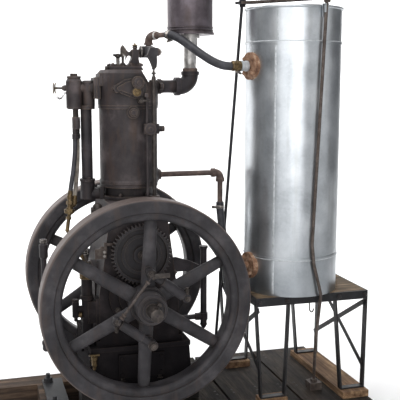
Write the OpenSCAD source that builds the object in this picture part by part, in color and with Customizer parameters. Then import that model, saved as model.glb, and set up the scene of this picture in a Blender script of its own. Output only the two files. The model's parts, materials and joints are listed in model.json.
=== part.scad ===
// Vertical stationary petrol engine with two flywheels, its cooling tank on a
// hairpin-leg stand, and the plank bed that carries both.
// The crankshaft axis runs along Y. X is to the right when facing the governor
// wheel and Z is up. The origin lies on the underside of the bed's middle tie,
// straight below the middle of the crankshaft.

/* [Bed] */
// Height of the two long sills
sill_h = 82; // [70:2:120]
// Thickness of the deck planks
plank_t = 38; // [25:1:50]
// Height of the bearers under the engine
bearer_h = 70; // [50:2:100]

/* [Engine] */
// Height of the cast sub-base
base_h = 163; // [140:1:200]
// Width of the sub-base across the engine
base_w = 396; // [340:2:420]
// Depth of the sub-base along the crankshaft
base_d = 384; // [340:2:400]
// Height of the crankshaft axis over the sub-base
axis_rise = 187; // [165:1:230]
// Diameter of the crankshaft in its bearings and in the wheels
shaft_d = 48; // [42:1:54]
// Diameter of the shaft ends outside the wheels
stub_d = 45; // [36:1:50]
// Height of the cylinder's foot over the crankshaft axis
case_rise = 391; // [370:1:440]
// Outside diameter of the water jacket
jacket_d = 220; // [200:2:240]
// Height of the water jacket
jacket_h = 306; // [260:2:360]
// Height of the cylinder head
head_h = 131; // [110:1:160]

/* [Flywheels] */
// Outside diameter of the flywheels
wheel_d = 762; // [700:2:780]
// Width of the rim
rim_w = 88; // [76:1:96]
// Radial thickness of the rim
rim_t = 76; // [60:1:90]
// Distance between the inner faces of the two rims
wheel_gap = 508; // [490:2:540]
// Diameter of the hub
hub_d = 112; // [96:2:124]
// Length of shaft that stands out of each hub
stub_len = 70; // [50:1:90]

/* [Timing gears] */
// Tooth module of the timing gears
gear_m = 4.5; // [4:0.25:5]
// Teeth on the crankshaft pinion
pinion_teeth = 24; // [20:1:26]
// Face width of the timing gears
gear_w = 22; // [16:1:24]

/* [Pipes and hoses] */
// Outside diameter of the water pipe
water_od = 21.3; // [17:0.1:27]
// Outside diameter of the water hoses
hose_od = 31; // [26:1:36]
// Outside diameter of the exhaust pipe
exhaust_od = 48.3; // [42:0.1:60]
// Outside diameter of the air pipe
air_od = 42.2; // [34:0.1:48]
// Diameter of the exhaust can
muffler_d = 174; // [150:2:190]
// Height of the exhaust can
muffler_h = 260; // [200:5:320]

/* [Cooling tank] */
// Diameter of the tank
tank_d = 357; // [320:1:380]
// Height of the tank
tank_h = 1060; // [900:5:1150]
// Height of the bottom course
bottom_course_h = 146; // [120:1:180]
// Height of the top course
top_course_h = 134; // [110:1:170]
// Thickness of the tank's sheet
sheet_t = 2; // [1.5:0.1:3]

/* [Stand] */
// Width of the square stand
stand_w = 455; // [430:1:480]
// Height of the stand over the packing
stand_h = 389; // [350:1:420]
// Height of the rails round the top
rail_h = 32; // [25:1:40]
// Thickness of the packing under the feet
packing_t = 25; // [18:1:38]

/* [Hidden] */
$fn = 64;
fit = 0.1;           // radial running clearance of a shaft in its hole
seat = 0.3;          // gap where curved faces lie against each other

// ---- levels, from the ground up
deck_z = sill_h + plank_t;
bed_z = deck_z + bearer_h;
base_z = bed_z + base_h;
crank_z = base_z + axis_rise;
jacket_z = crank_z + case_rise;
head_z = jacket_z + jacket_h;
head_top = head_z + head_h;

// ---- flywheels and shaft
wheel_y = (wheel_gap + rim_w) / 2;
hub_out = 45;
hub_in = 15;
hub_face_y = wheel_gap / 2 + rim_w + hub_out;
shaft_end_y = hub_face_y + stub_len;

// ---- timing gears
cam_teeth = 2 * pinion_teeth;
pinion_r = gear_m * pinion_teeth / 2;
cam_r = gear_m * cam_teeth / 2;
cam_z = crank_z + pinion_r + cam_r;
gear_y = -base_d / 2 - 8 - gear_w;
stud_d = 28;

// ---- tank and stand
tank_x = 597;
tank_y = -179;
stand_x = tank_x + 34;
stand_y = tank_y + 75;
stand_base_z = deck_z + packing_t;
stand_top = stand_base_z + stand_h;
rim_z = stand_top + tank_h;
upper_port_z = stand_top + 847;
lower_port_z = stand_top + 101;
port_dir = 190;
lap_h = 8;
elbow_drop = 34;

// ---- deck
planks = 4;
plank_pitch = 265;
plank_gap = 10;
deck_x0 = -194;
deck_x1 = deck_x0 + planks * plank_pitch - plank_gap;
deck_y0 = -400;
deck_y1 = 250;
sill_y = 170;
sill_w = 100;
sill_x0 = -520;
sill_x1 = deck_x1 + 24;
tie_xs = [-312, 0, 800];

// ============================ helpers ============================

// a solid with a profile drawn in X and Z, from y0 to y1
module along_y(y0, y1) {
    translate([0, y1, 0]) rotate([90, 0, 0]) linear_extrude(y1 - y0) children();
}

// a solid with a profile drawn in Y and Z, from x0 to x1
module along_x(x0, x1) {
    translate([x0, 0, 0]) rotate([90, 0, 90]) linear_extrude(x1 - x0) children();
}

// a round bar along Y, with its axis through x and z
module bar_y(x, z, y0, y1, d) {
    translate([x, y0, z]) rotate([-90, 0, 0]) cylinder(h = y1 - y0, d = d);
}

// a round bar along X, with its axis through y and z
module bar_x(y, z, x0, x1, d) {
    translate([x0, y, z]) rotate([0, 90, 0]) cylinder(h = x1 - x0, d = d);
}

// a round bar between two points
module bar(a, b, d) {
    v = b - a;
    len = norm(v);
    translate(a) rotate([0, acos(v[2] / len), atan2(v[1], v[0])]) cylinder(h = len, d = d);
}

// a hexagon nut or head, upright
module hex(w, h) {
    cylinder(h = h, d = w / cos(30), $fn = 6);
}

// a box given by its two corners
module block(a, b) {
    translate(a) cube(b - a);
}

// a quarter bend in the XZ plane, around the centre c from angle a to a + 90
module quarter(c, r, d, a) {
    translate(c) rotate([90, 0, 0]) rotate([0, 0, a]) rotate_extrude(angle = 90) translate([r, 0]) circle(d = d);
}

// a point on a smooth curve through four neighbouring points
function curve(a, b, c, d, t) =
    0.5 * (2 * b + (c - a) * t + (2 * a - 5 * b + 4 * c - d) * t * t + (3 * b - a - 3 * c + d) * t * t * t);
function smooth(p, steps) = let (n = len(p) - 1) [
    for (i = [0 : n - 1]) for (s = [0 : steps - 1])
        curve(p[max(i - 1, 0)], p[i], p[i + 1], p[min(i + 2, n)], s / steps),
    p[n]
];
function unit(v) = v / norm(v);
function heading(p, i) = unit(p[min(i + 1, len(p) - 1)] - p[max(i - 1, 0)]);

// a round tube swept along a route of points
module sweep(route, d, sides = 12) {
    n = len(route);
    rings = [for (i = [0 : n - 1])
        let (h = heading(route, i), u = unit(cross(h, [0.3, 1, 0.1])), v = cross(h, u))
            for (k = [0 : sides - 1]) route[i] + d / 2 * (u * cos(360 * k / sides) + v * sin(360 * k / sides))];
    sides_f = [for (i = [0 : n - 2]) for (k = [0 : sides - 1]) let (m = (k + 1) % sides)
        each [[i * sides + k, (i + 1) * sides + k, (i + 1) * sides + m],
              [i * sides + k, (i + 1) * sides + m, i * sides + m]]];
    start_f = [for (k = [1 : sides - 2]) [0, k, k + 1]];
    end_f = [for (k = [1 : sides - 2]) let (e = (n - 1) * sides) [e, e + k + 1, e + k]];
    polyhedron(points = rings, faces = concat(sides_f, start_f, end_f));
}

// the outline of a spur gear, with a tooth centred on the +X axis
module gear_outline(teeth, m) {
    r = m * teeth / 2;
    tip_r = r + m;
    root_r = r - 1.25 * m;
    pitch = 360 / teeth;
    half_root = pitch * 0.35;
    half_mid = pitch * 0.215;
    half_tip = pitch * 0.11;
    polygon([for (i = [0 : teeth - 1])
        for (p = [[root_r, -half_root], [r, -half_mid], [tip_r, -half_tip],
                  [tip_r, half_tip], [r, half_mid], [root_r, half_root]])
            p[0] * [cos(i * pitch + p[1]), sin(i * pitch + p[1])]]);
}

// ============================ bed ============================

module bed_sills() {
    inner_y = sill_y - sill_w / 2;
    outer_y = sill_y + sill_w / 2;
    color("#4a3a2c") {
        for (s = [0, 1]) mirror([0, s, 0])
            block([sill_x0, inner_y, 0], [sill_x1, outer_y, sill_h]);
        for (x = tie_xs)
            block([x - 50, -inner_y - 1, 0], [x + 50, inner_y + 1, sill_h]);
        // full height of the sills and their tie at the open end, beside the notches for the deck
        for (s = [0, 1]) mirror([0, s, 0])
            block([sill_x0, inner_y, sill_h - 1], [deck_x0 - plank_gap, outer_y, deck_z]);
        block([tie_xs[0] - 50, -inner_y - 1, sill_h - 1], [tie_xs[0] + 50, inner_y + 1, deck_z]);
    }
}

// steel strap across the open end of the bed, held down by two bolts
module bed_strap() {
    x = tie_xs[0] - 28;
    color("#626469") {
        block([x, -150, deck_z], [x + 78, 150, deck_z + 8]);
        for (y = [-122, 122]) translate([x + 22, y, deck_z + 7.5]) {
            cylinder(h = 4, d = 40);
            translate([0, 0, 3.5]) hex(30, 13);
            cylinder(h = 34, d = 16);
        }
    }
}

module deck_planks() {
    color("#3d3733")
        for (i = [0 : planks - 1])
            block([deck_x0 + i * plank_pitch, deck_y0, sill_h],
                  [deck_x0 + (i + 1) * plank_pitch - plank_gap, deck_y1, deck_z]);
}

module engine_bearers() {
    color("#2e2a28")
        for (s = [-1, 1])
            block([-base_w / 2 - 27, s * (base_d / 2 - 45) - 42, deck_z],
                  [base_w / 2 + 27, s * (base_d / 2 - 45) + 42, bed_z]);
}

module stand_packing() {
    half = stand_w / 2;
    right_x = stand_x + half - leg_rake[1] - foot_len / 2;
    left_x = stand_x - half + leg_rake[0] + foot_len / 2;
    color("#9a6b45") {
        block([right_x - 54, stand_y - half - 30, deck_z], [right_x + 54, stand_y + half + 30, stand_base_z]);
        for (s = [-1, 1])
            block([left_x - 54, stand_y + s * (half - 20) - 28, deck_z],
                  [left_x + 54, stand_y + s * (half - 20) + 28, stand_base_z]);
    }
}

// ============================ engine castings ============================

base_boss_x = base_w / 2 + 2;
base_boss_y = base_d / 2 + 4;
drain_x = -180;
drain_z = crank_z - 228;

module sub_base() {
    foot_t = 28;
    top_t = 18;
    half_w = base_w / 2;
    half_d = base_d / 2;
    hold_x = half_w - 16;
    hold_y = half_d - 60;
    color("#1f1d1e")
        difference() {
            union() {
                block([-half_w, -half_d, bed_z], [half_w, half_d, bed_z + foot_t]);
                block([-half_w + 8, -half_d, base_z - top_t], [half_w - 8, half_d, base_z]);
                // tapered waist, one profile across the engine and one along it
                intersection() {
                    along_y(-half_d, half_d) waist_outline(half_w - 3, half_w - 10, foot_t, top_t);
                    rotate(90) along_y(-half_w, half_w) waist_outline(half_d - 2, half_d - 8, foot_t, top_t);
                }
                // ribs over the holding-down bolts
                for (x = [-1, 1]) for (y = [-1, 1]) translate([x * (half_w - 22), y * (half_d - 92), 0])
                    block([-14, -8, bed_z + foot_t - 1], [14, 8, base_z - top_t + 1]);
                // bosses for the filler pipe and the drain cock
                bar_x(0, crank_z - 230, -base_boss_x, 0, 52);
                bar_y(drain_x, drain_z, -base_boss_y, 0, 30);
                // inspection door on the governor side
                block([-86, -half_d - 6, bed_z + foot_t + 14], [86, -half_d + 40, base_z - top_t - 14]);
            }
            for (x = [-1, 1]) for (y = [-1, 1]) translate([x * hold_x, y * hold_y, bed_z - 1])
                cylinder(h = foot_t + 2, d = 14);
        }
}

// side view of the sub-base's waist, narrower at the top
module waist_outline(low, high, foot_t, top_t) {
    z0 = bed_z + foot_t - 1;
    z1 = base_z - top_t + 1;
    polygon([[-low, z0], [low, z0], [high, z1], [-high, z1]]);
}

case_r = 150;
case_top_w = 210;
case_y = base_d / 2 - 22;
// bearing plates and the cam gear's boss share the room between the two axes
plate_d = (pinion_r + cam_r) * 230 / 162;
cam_boss_d = (pinion_r + cam_r) * 90 / 162;

// end view of the crankcase
module crankcase_outline() {
    translate([0, crank_z]) circle(r = case_r);
    translate([-case_r, base_z]) square([2 * case_r, crank_z - base_z]);
    polygon([[-case_r + 8, crank_z + 40], [case_r - 8, crank_z + 40],
             [case_top_w / 2, jacket_z - 70], [case_top_w / 2, jacket_z - 47],
             [-case_top_w / 2, jacket_z - 47], [-case_top_w / 2, jacket_z - 70]]);
}

module crankcase() {
    neck_d = jacket_d - 34;
    flange_w = 14;
    color("#242123")
        difference() {
            union() {
                along_y(-case_y, case_y) crankcase_outline();
                // foot flange and the ribs that stand on it
                block([-case_r - flange_w, -case_y, base_z], [case_r + flange_w, case_y, base_z + 20]);
                for (s = [-1, 1]) for (y = [-130, -60, 60, 130])
                    along_y(y - 7, y + 7) polygon([[s * (case_r - 4), base_z + 19], [s * (case_r + flange_w - 2), base_z + 19],
                                                   [s * (case_r - 4), base_z + 80]]);
                // neck that the cylinder stands on, with its bolted collar
                translate([0, 0, jacket_z - 50]) cylinder(h = 50, d = neck_d);
                translate([0, 0, jacket_z - 49]) cylinder(h = 16, d = neck_d + 30);
                // side doors over the connecting rod
                for (s = [0, 1]) mirror([s, 0, 0])
                    bar_x(0, crank_z + 10, case_r - 20, case_r + 5, 190);
                // tappet boss, and the stud and boss of the cam gear
                translate([rod_x, rod_y, jacket_z - 50]) cylinder(h = 24, d = 36);
                translate([trip_x, rod_y, jacket_z - 50]) cylinder(h = 16, d = 24);
                bar_y(0, cam_z, gear_y - 6, -case_y + 1, stud_d);
                bar_y(0, cam_z, gear_y + gear_w + 5, -case_y + 1, stud_d + 22);
                bar_y(0, cam_z, -case_y - 12, -case_y + 1, cam_boss_d);
            }
            bar_y(0, crank_z, -base_d, base_d, shaft_d + 2 * fit);
            translate([rod_x, rod_y, jacket_z - 39]) cylinder(h = 30, d = rod_d + 2 * fit);
        }
}

module bearing_plates() {
    bolt_r = plate_d / 2 - 17;
    color("#2a2728")
        for (s = [0, 1]) mirror([0, s, 0])
            difference() {
                union() {
                    bar_y(0, crank_z, -case_y - 12, -case_y, plate_d);
                    bar_y(0, crank_z, -case_y - 20, -case_y, plate_d - 70);
                    bar_y(0, crank_z, gear_y + gear_w + 5, -case_y, 84);
                    // oil cup over the bearing
                    translate([0, -case_y - 10, crank_z + 70]) cylinder(h = 26, d = 18);
                }
                bar_y(0, crank_z, -base_d, base_d, shaft_d + 2 * fit);
                for (a = [30 : 60 : 330])
                    bar_y(bolt_r * cos(a), crank_z + bolt_r * sin(a), -case_y - 13, -case_y - 6, 11);
            }
}

module cylinder_casting() {
    bead = 5;
    color("#2b2829") {
        translate([0, 0, jacket_z]) cylinder(h = jacket_h, d = jacket_d);
        // beads round the foot and the top of the jacket
        translate([0, 0, jacket_z]) cylinder(h = 14, d1 = jacket_d - 12, d2 = jacket_d + bead);
        translate([0, 0, jacket_z + 13.5]) cylinder(h = 8, d = jacket_d + bead);
        translate([0, 0, jacket_z + 21]) cylinder(h = 8, d1 = jacket_d + bead, d2 = jacket_d - 1);
        translate([0, 0, head_z - 12]) cylinder(h = 12, d = jacket_d + 6);
        // flared boss that takes the water pipe
        bar_x(0, water_z, jacket_d / 2 - 12, jacket_d / 2 + 14, 40);
        translate([jacket_d / 2 - 8, 0, water_z]) rotate([0, 90, 0]) cylinder(h = 16, d1 = 78, d2 = 42);
        // lower cleaning boss on the governor side
        bar_y(-4, head_z - 24, -jacket_d / 2 - 8, -jacket_d / 2 + 16, 46);
        bar_y(-4, head_z - 24, -jacket_d / 2 - 16, -jacket_d / 2 + 16, 32);
    }
}

module cylinder_head() {
    d = jacket_d + 8;
    face_y = -d / 2;
    color("#2d292a") {
        difference() {
            union() {
                translate([0, 0, head_z]) cylinder(h = head_h - 12, d = d);
                translate([0, 0, head_z + head_h - 12]) cylinder(h = 12, d1 = d, d2 = d - 20);
                block([-jacket_d / 2 - 5, -46, mixer_z + 8], [-60, 46, head_top - 14]);
            }
            shoulder_cut(50, head_top + 1);
        }
        // intake port with its square flange
        bar_x(0, mixer_z, intake_face, -jacket_d / 2 + 10, 64);
        block([intake_face, -40, mixer_z - 40], [intake_face + 14, 40, mixer_z + 40]);
        // exhaust port with its flange
        bar_x(0, exhaust_z, jacket_d / 2 - 24, jacket_d / 2 + 18, 52);
        along_x(jacket_d / 2 + 6, jacket_d / 2 + 18) {
            translate([0, exhaust_z]) circle(d = 58);
            for (s = [-1, 1]) translate([s * 38, exhaust_z]) circle(d = 26);
            translate([-38, exhaust_z - 13]) square([76, 26]);
        }
        // bow-shaped valve chest on the governor side, its crown and its round bosses
        along_y(face_y - 8, face_y + 50) chest_outline();
        along_y(face_y - 14, face_y) chest_crown();
        bar_y(11, head_z + 84, face_y - 26, face_y + 20, 46);
        bar_y(11, head_z + 84, face_y - 29, face_y + 20, 38);
        bar_y(6, head_z + 50, face_y - 22, face_y + 20, 36);
        bar_y(24, head_z + 20, face_y - 12, face_y + 26, 24);
    }
}

// sloping shoulder on the exhaust side, cut from x out and from the level z down
module shoulder_cut(x, z) {
    drop = 46;
    rotate(-12) along_y(-160, 160)
        polygon([[x, z], [x + 0.6 * drop, z - drop], [x + 100, z - drop], [x + 100, z + 40], [x, z + 40]]);
}

module chest_crown() {
    translate([6, head_z + 64]) circle(r = 29);
    translate([-56, head_z + 63]) circle(r = 8);
    translate([-27, head_z + 70]) circle(r = 16);
    polygon([[-59, head_z + 70], [-30, head_z + 86], [0, head_z + 92], [32, head_z + 74],
             [32, head_z + 38], [14, head_z + 36], [-12, head_z + 41], [-46, head_z + 53]]);
}

// front view of the valve chest
module chest_outline() {
    translate([10, head_z + 64]) circle(r = 38);
    translate([-62, head_z + 62]) circle(r = 14);
    translate([-28, head_z + 72]) circle(r = 24);
    polygon([[-66, head_z + 75], [-34, head_z + 95], [0, head_z + 100], [44, head_z + 80],
             [46, head_z + 30], [18, head_z + 28], [-14, head_z + 32], [-52, head_z + 46]]);
}

module head_cover() {
    cover_t = 14;
    stud_r = 72;
    z = head_top + cover_t;
    color("#262324") {
        difference() {
            translate([0, 0, head_top]) cylinder(h = cover_t, d = 172);
            shoulder_cut(51, z + 1);
        }
        for (a = [90, 150, 210, 270, 300])
            rotate(a) translate([stud_r, 0, z - 1]) {
                hex(19, 9);
                cylinder(h = 12, d = 10);
            }
        // exhaust valve's spring seat, spring and stem under the rocker's short arm
        translate([valve_x, valve_y, z - 1]) cylinder(h = 6, d = 26);
        translate([valve_x, valve_y, z]) cylinder(h = rocker_z - 26 - z, d = 19);
        translate([valve_x, valve_y, rocker_z - 30]) cylinder(h = 5, d = 24);
        translate([valve_x, valve_y, rocker_z - 26]) cylinder(h = 9, d = 9);
    }
}

module rocker_stand() {
    z = head_top + 14;
    lever_face = -7.5;
    color("#2a2728") {
        along_y(-14, 14) polygon([[-4, z], [47, z], [44, z + 12], [41, z + 28], [43, rocker_z - 14], [43, rocker_z + 8],
                                  [15, rocker_z + 8], [15, rocker_z - 14], [13, z + 28], [5, z + 12]]);
        block([0, -20, z], [46, 20, z + 7]);
        // web that steadies the pointed lever
        along_y(-5, 5) polygon([[lever_face, rocker_z + 13], [-3, rocker_z + 4], [4, rocker_z - 1], [10, rocker_z + 1],
                                [16, rocker_z + 7], [16, rocker_z - 20], [10, rocker_z - 16], [3, rocker_z - 14],
                                [-3, rocker_z - 20], [lever_face, rocker_z - 32]]);
        bar_x(0, rocker_z, 42.5, 112, rocker_shaft_d);
        translate([111, 0, rocker_z]) rotate([0, 90, 0]) hex(26, 12);
        translate([122, 0, rocker_z]) rotate([0, 90, 0]) cylinder(h = 8, d = 12);
        translate([29, 0, rocker_z + 7]) cylinder(h = 8, d = 16);
        translate([29, 0, rocker_z + 14]) cylinder(h = 9, d1 = 22, d2 = 16);
    }
}

rocker_z = head_top + 68;
rocker_shaft_d = 20;
rod_x = 70;
rod_y = -jacket_d / 2 - 22;
rod_d = 16;
rod_drop = 70;        // top of the push rod under the rocker's axis
trip_x = 44;          // igniter trip rod beside the push rod
trip_d = 10;
valve_x = 38;
valve_y = 35;

module priming_cup() {
    z = head_top + 14;
    color("#3a3836") {
        // priming cup on its stem
        translate([-40, -20, z]) hex(17, 7);
        translate([-40, -20, z + 6]) cylinder(h = 24, d = 11);
        translate([-40, -20, z + 29]) cylinder(h = 6, d1 = 11, d2 = 25);
        translate([-40, -20, z + 34.5]) cylinder(h = 7, d = 25);
        translate([-40, -20, z + 41]) cylinder(h = 5, d1 = 20, d2 = 12);
        // pointed lever that stands up beside it
        translate([-18, 0, z]) cylinder(h = 12, d1 = 26, d2 = 18);
        translate([-18, 0, z + 11]) cylinder(h = 36, d = 10);
        translate([-18, 0, z + 36]) rotate([90, 0, 0]) translate([0, 0, -4]) linear_extrude(8)
            polygon([[-5, -4], [5, -4], [10, 8], [10, 26], [7, 36], [0, 43], [-7, 36], [-9, 26], [-9, 8]]);
    }
}

module rod_guide() {
    z = head_z - 84;
    boss_h = 36;
    trip_z0 = jacket_z - 34;
    trip_z1 = head_z + 46;
    color("#2a2728") {
        difference() {
            union() {
                translate([rod_x, rod_y, z - boss_h / 2]) cylinder(h = boss_h, d = 40);
                translate([trip_x, rod_y, z - boss_h / 2]) cylinder(h = boss_h, d = 26);
                block([trip_x, rod_y - 11, z - 12], [rod_x, rod_y + 11, z + 12]);
                bar([rod_x, rod_y, z], [rod_x * 0.62, rod_y * 0.62, z], 28);
                bar_x(rod_y, z, rod_x + 15, rod_x + 30, 22);
                translate([rod_x + 29, rod_y, z]) rotate([0, 90, 0]) hex(18, 9);
            }
            translate([rod_x, rod_y, z - 40]) cylinder(h = 80, d = rod_d + 2 * fit);
            translate([0, 0, z - 40]) cylinder(h = 80, d = jacket_d + 2 * seat);
        }
        translate([trip_x, rod_y, trip_z0 + seat]) cylinder(h = trip_z1 - trip_z0, d = trip_d);
        // finger at the top of the trip rod
        block([trip_x - 9, rod_y - 6, trip_z1 - 14], [trip_x + 4, rod_y + 6, trip_z1]);
    }
}

// ============================ intake and fuel ============================

mixer_z = head_z + 64;
intake_face = -jacket_d / 2 - 15;
air_x = intake_face - 26;
bowl_x = air_x - 52;
bowl_d = 60;

module intake_mixer() {
    low = head_z - 14;
    color("#2c292a") {
        // air throat over the air pipe
        translate([air_x - 5, 0, low]) cylinder(h = 13, d = 58);
        translate([air_x, 0, low + 12]) cylinder(h = 88, d = 50);
        translate([air_x, 0, low + 99.5]) cylinder(h = 7, d1 = 50, d2 = 34);
        bar_x(0, mixer_z, air_x, intake_face, 56);
        block([intake_face - 10, -38, mixer_z - 38], [intake_face, 38, mixer_z + 38]);
        // fuel bowl with its cap
        translate([bowl_x, 0, low]) cylinder(h = 6, d1 = bowl_d - 10, d2 = bowl_d);
        translate([bowl_x, 0, low + 5.5]) cylinder(h = 98, d = bowl_d);
        translate([bowl_x, 0, low + 103]) cylinder(h = 12, d1 = bowl_d, d2 = bowl_d - 14);
        translate([bowl_x, 0, low + 114]) cylinder(h = 8, d = bowl_d - 8);
        translate([bowl_x, 0, low + 121.5]) hex(24, 10);
        bar_x(0, mixer_z, bowl_x, air_x, 40);
        bar_x(0, mixer_z, bowl_x - bowl_d / 2 - 9, bowl_x, 22);
        // threaded nipple and double coupling for the two fuel lines
        translate([bowl_x + 4, 0, low - 34]) cylinder(h = 35, d = 21);
        for (y = [-9, 9]) translate([bowl_x + 5, y, fuel_top_z + seat]) cylinder(h = low - 30 - fuel_top_z, d = 28);
    }
}

module mixer_needle() {
    tip_x = bowl_x - bowl_d / 2 - 9.3;
    color("#4a4644") {
        bar_x(0, mixer_z, tip_x - 30, tip_x, 8);
        bar_x(0, mixer_z, tip_x - 5, tip_x, 16);
        translate([tip_x - 29, 0, mixer_z]) rotate([0, -90, 0]) cylinder(h = 7, d1 = 10, d2 = 40);
        bar_x(0, mixer_z, tip_x - 38, tip_x - 35.5, 40);
    }
}

module air_pipe() {
    color("#221f22")
        translate([air_x - 9, 0, jacket_z + 30]) cylinder(h = head_z - 14 - jacket_z - 30, d = air_od);
}

module air_elbow() {
    z0 = jacket_z - 46;
    x = air_x - 9;
    color("#201e20")
        difference() {
            union() {
                translate([x, 0, jacket_z + 22]) cylinder(h = 8, d = 60);
                for (s = [-1, 1]) translate([x, s * 33, jacket_z + 22]) {
                    cylinder(h = 8, d = 25);
                    translate([0, 0, 7.5]) hex(15, 9);
                }
                translate([x, 0, z0]) cylinder(h = jacket_z + 22.5 - z0, d = 54);
                translate([x, 0, z0]) sphere(d = 55);
                bar_x(0, z0 + 16, x, -80, 50);
                block([-118, -32, z0 - 12], [-84, 32, z0 + 46]);
            }
            translate([0, 0, z0 - 30]) cylinder(h = 90, d = jacket_d - 34 + 30 + 2 * seat);
            translate([0, 0, jacket_z - seat]) cylinder(h = 90, d = jacket_d + 5 + 2 * seat);
            translate([-400, -60, z0 - 60]) cube([800, 120, 60]);
        }
}

fuel_top_z = 1150;
fuel_hose_route = [[-204, -9, 1150], [-204.1, -9.2, 1132], [-204.8, -10.5, 1114.1], [-205.6, -12.8, 1096.2],
    [-206.5, -15.2, 1078.4], [-207.9, -17.9, 1060.7], [-209.9, -20.6, 1043], [-212.2, -23.5, 1025.3],
    [-214.8, -26.5, 1007.8], [-217.7, -30, 990.4], [-221.1, -34.1, 973.1], [-224.7, -38.5, 956.1],
    [-228.2, -43.2, 939], [-231.4, -47.6, 922], [-233.2, -50.4, 905]];
return_hose_route = [[-193, 9, 1150], [-193, 8.9, 1130.5], [-193, 8.1, 1111.1], [-193.1, 6.5, 1091.7],
    [-193.5, 4.6, 1072.3], [-194.4, 2, 1053.1], [-195.8, -1.2, 1033.9], [-197.4, -4.8, 1014.9],
    [-199.5, -9, 996], [-202, -14, 977.3], [-204.8, -19.6, 958.9], [-207.7, -25.4, 940.6],
    [-210.7, -31.5, 922.3], [-213.9, -37.7, 904.2], [-217, -44, 886]];

// the fuel lines hang under the mixer, which stands off with the cylinder
hang = [bowl_x + 203, 0, 0];
function hung(route) = [for (p = route) p + hang];

module fuel_hose() {
    color("#2a2a2e") sweep(hung(fuel_hose_route), 17, 10);
}

module return_hose() {
    color("#77736c") sweep(hung(return_hose_route), 16, 10);
}

module fuel_pipe() {
    top = hang + [-233.2, -50.4, 904.3];
    branch = hang + [-217.2, -44.4, 884.7];
    branch_low = hang + [-219.4, -48.8, 871];
    joint = hang + [-237, -56.7, 861];
    low = hang + [-239, -60, 838];
    drop = hang + [-250, -75, 780];
    valve = [pump_x, pump_y, pump_top + 14];
    color("#8a7a44") {
        // unions of the two hoses, screwed into one coupling
        bar(top, joint, 17);
        bar(top, top + (joint - top) * 0.3, 24);
        bar(top + (joint - top) * 0.42, top + (joint - top) * 0.72, 23);
        bar(branch, branch_low, 21);
        translate(branch_low) sphere(d = 17);
        bar(branch_low, joint, 16);
        bar(joint, low, 27);
        bar(joint + (low - joint) * 0.3, joint + (low - joint) * 0.85, 37);
        // pipe down to the pump
        bar(low, drop, 14);
        translate(drop) sphere(d = 15);
        bar(drop, valve, 14);
        translate(valve) sphere(d = 15);
        translate(valve - [0, 0, 14 - seat]) cylinder(h = 16, d = 14);
    }
}

pump_x = -192;
pump_y = -142;
pump_d = 40;
pump_top = crank_z + 112;
pump_low = crank_z - 165;

module fuel_pump() {
    side_x = -case_r - seat;
    color("#232122")
        difference() {
            union() {
                // barrel with its cap and collars
                translate([pump_x, pump_y, pump_low]) cylinder(h = pump_top - pump_low - 40, d = pump_d);
                translate([pump_x, pump_y, pump_top - 41]) cylinder(h = 12, d = pump_d + 10);
                translate([pump_x, pump_y, pump_top - 30]) cylinder(h = 20, d = pump_d - 10);
                translate([pump_x, pump_y, pump_top - 11]) hex(26, 11);
                translate([pump_x, pump_y, crank_z - 8]) cylinder(h = 14, d = pump_d + 9);
                translate([pump_x, pump_y, pump_low]) cylinder(h = 14, d = pump_d + 6);
                translate([pump_x, pump_y, pump_low - 16]) cylinder(h = 17, d1 = 18, d2 = pump_d - 6);
                // drain pipe that stands on the sub-base
                translate([pump_x + 17, pump_y, base_z + seat]) cylinder(h = crank_z - 150 - base_z, d = 20);
                // foot that is bolted to the crankcase
                block([pump_x, pump_y - 24, crank_z - 96], [side_x, pump_y + 24, crank_z - 14]);
                block([side_x - 12, pump_y - 26, crank_z - 104], [side_x, pump_y + 26, crank_z - 6]);
                // delivery valve on the outer side
                bar_x(pump_y, crank_z - 44, pump_x - 46, pump_x, 24);
                translate([pump_x - 42, pump_y, crank_z - 74]) cylinder(h = 58, d = 26);
                translate([pump_x - 42, pump_y, crank_z - 17]) hex(22, 10);
                translate([pump_x - 42, pump_y, crank_z - 90]) cylinder(h = 17, d = 14);
            }
            // oil hole in the cap
            translate([pump_x, pump_y, pump_top - 9]) cylinder(h = 20, d = 6);
        }
}

module drain_cock() {
    y = -base_boss_y - 20;
    color("#b59a50") {
        bar_y(drain_x, drain_z, y, -base_boss_y - seat, 14);
        translate([drain_x, -base_boss_y - seat, drain_z]) rotate([90, 0, 0]) hex(20, 7);
        translate([drain_x, y, drain_z - 12]) cylinder(h = 24, d = 20);
        translate([drain_x, y, drain_z - 17]) cylinder(h = 5.5, d1 = 12, d2 = 20);
        translate([drain_x, y, drain_z - 28]) cylinder(h = 11.5, d = 12);
        translate([drain_x, y, drain_z + 11.5]) hex(22, 8);
        translate([drain_x, y, drain_z + 19]) cylinder(h = 6, d = 12);
        block([drain_x - 19, y - 4, drain_z + 24], [drain_x + 19, y + 4, drain_z + 29]);
    }
}

module filler_pipe() {
    x = -332;
    z = crank_z - 230;
    sleeve = crank_z + 117;
    top = crank_z + 181;
    color("#2a2728") {
        translate([x, 0, z]) cylinder(h = sleeve - z + 1, d = 21);
        // sleeve with its cap
        translate([x, 0, sleeve]) cylinder(h = 12, d1 = 21, d2 = 33);
        translate([x, 0, sleeve + 11.5]) cylinder(h = 47, d = 33);
        translate([x, 0, sleeve + 58]) cylinder(h = 6.5, d1 = 33, d2 = 22);
        translate([x, 0, top - 0.5]) cylinder(h = 17, d = 18);
        for (h = [1, 9.5]) translate([x, 0, top + h]) cylinder(h = 6, d = 23);
        // elbow and nipple into the sub-base
        translate([x, 0, z + 16]) cylinder(h = 12, d = 32);
        translate([x, 0, z]) cylinder(h = 17, d = 28);
        translate([x, 0, z]) sphere(d = 29);
        bar_x(0, z, x, x + 18, 28.5);
        bar_x(0, z, x + 16, x + 28, 32);
        bar_x(0, z, x, -base_boss_x - seat, 21);
    }
}

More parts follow.
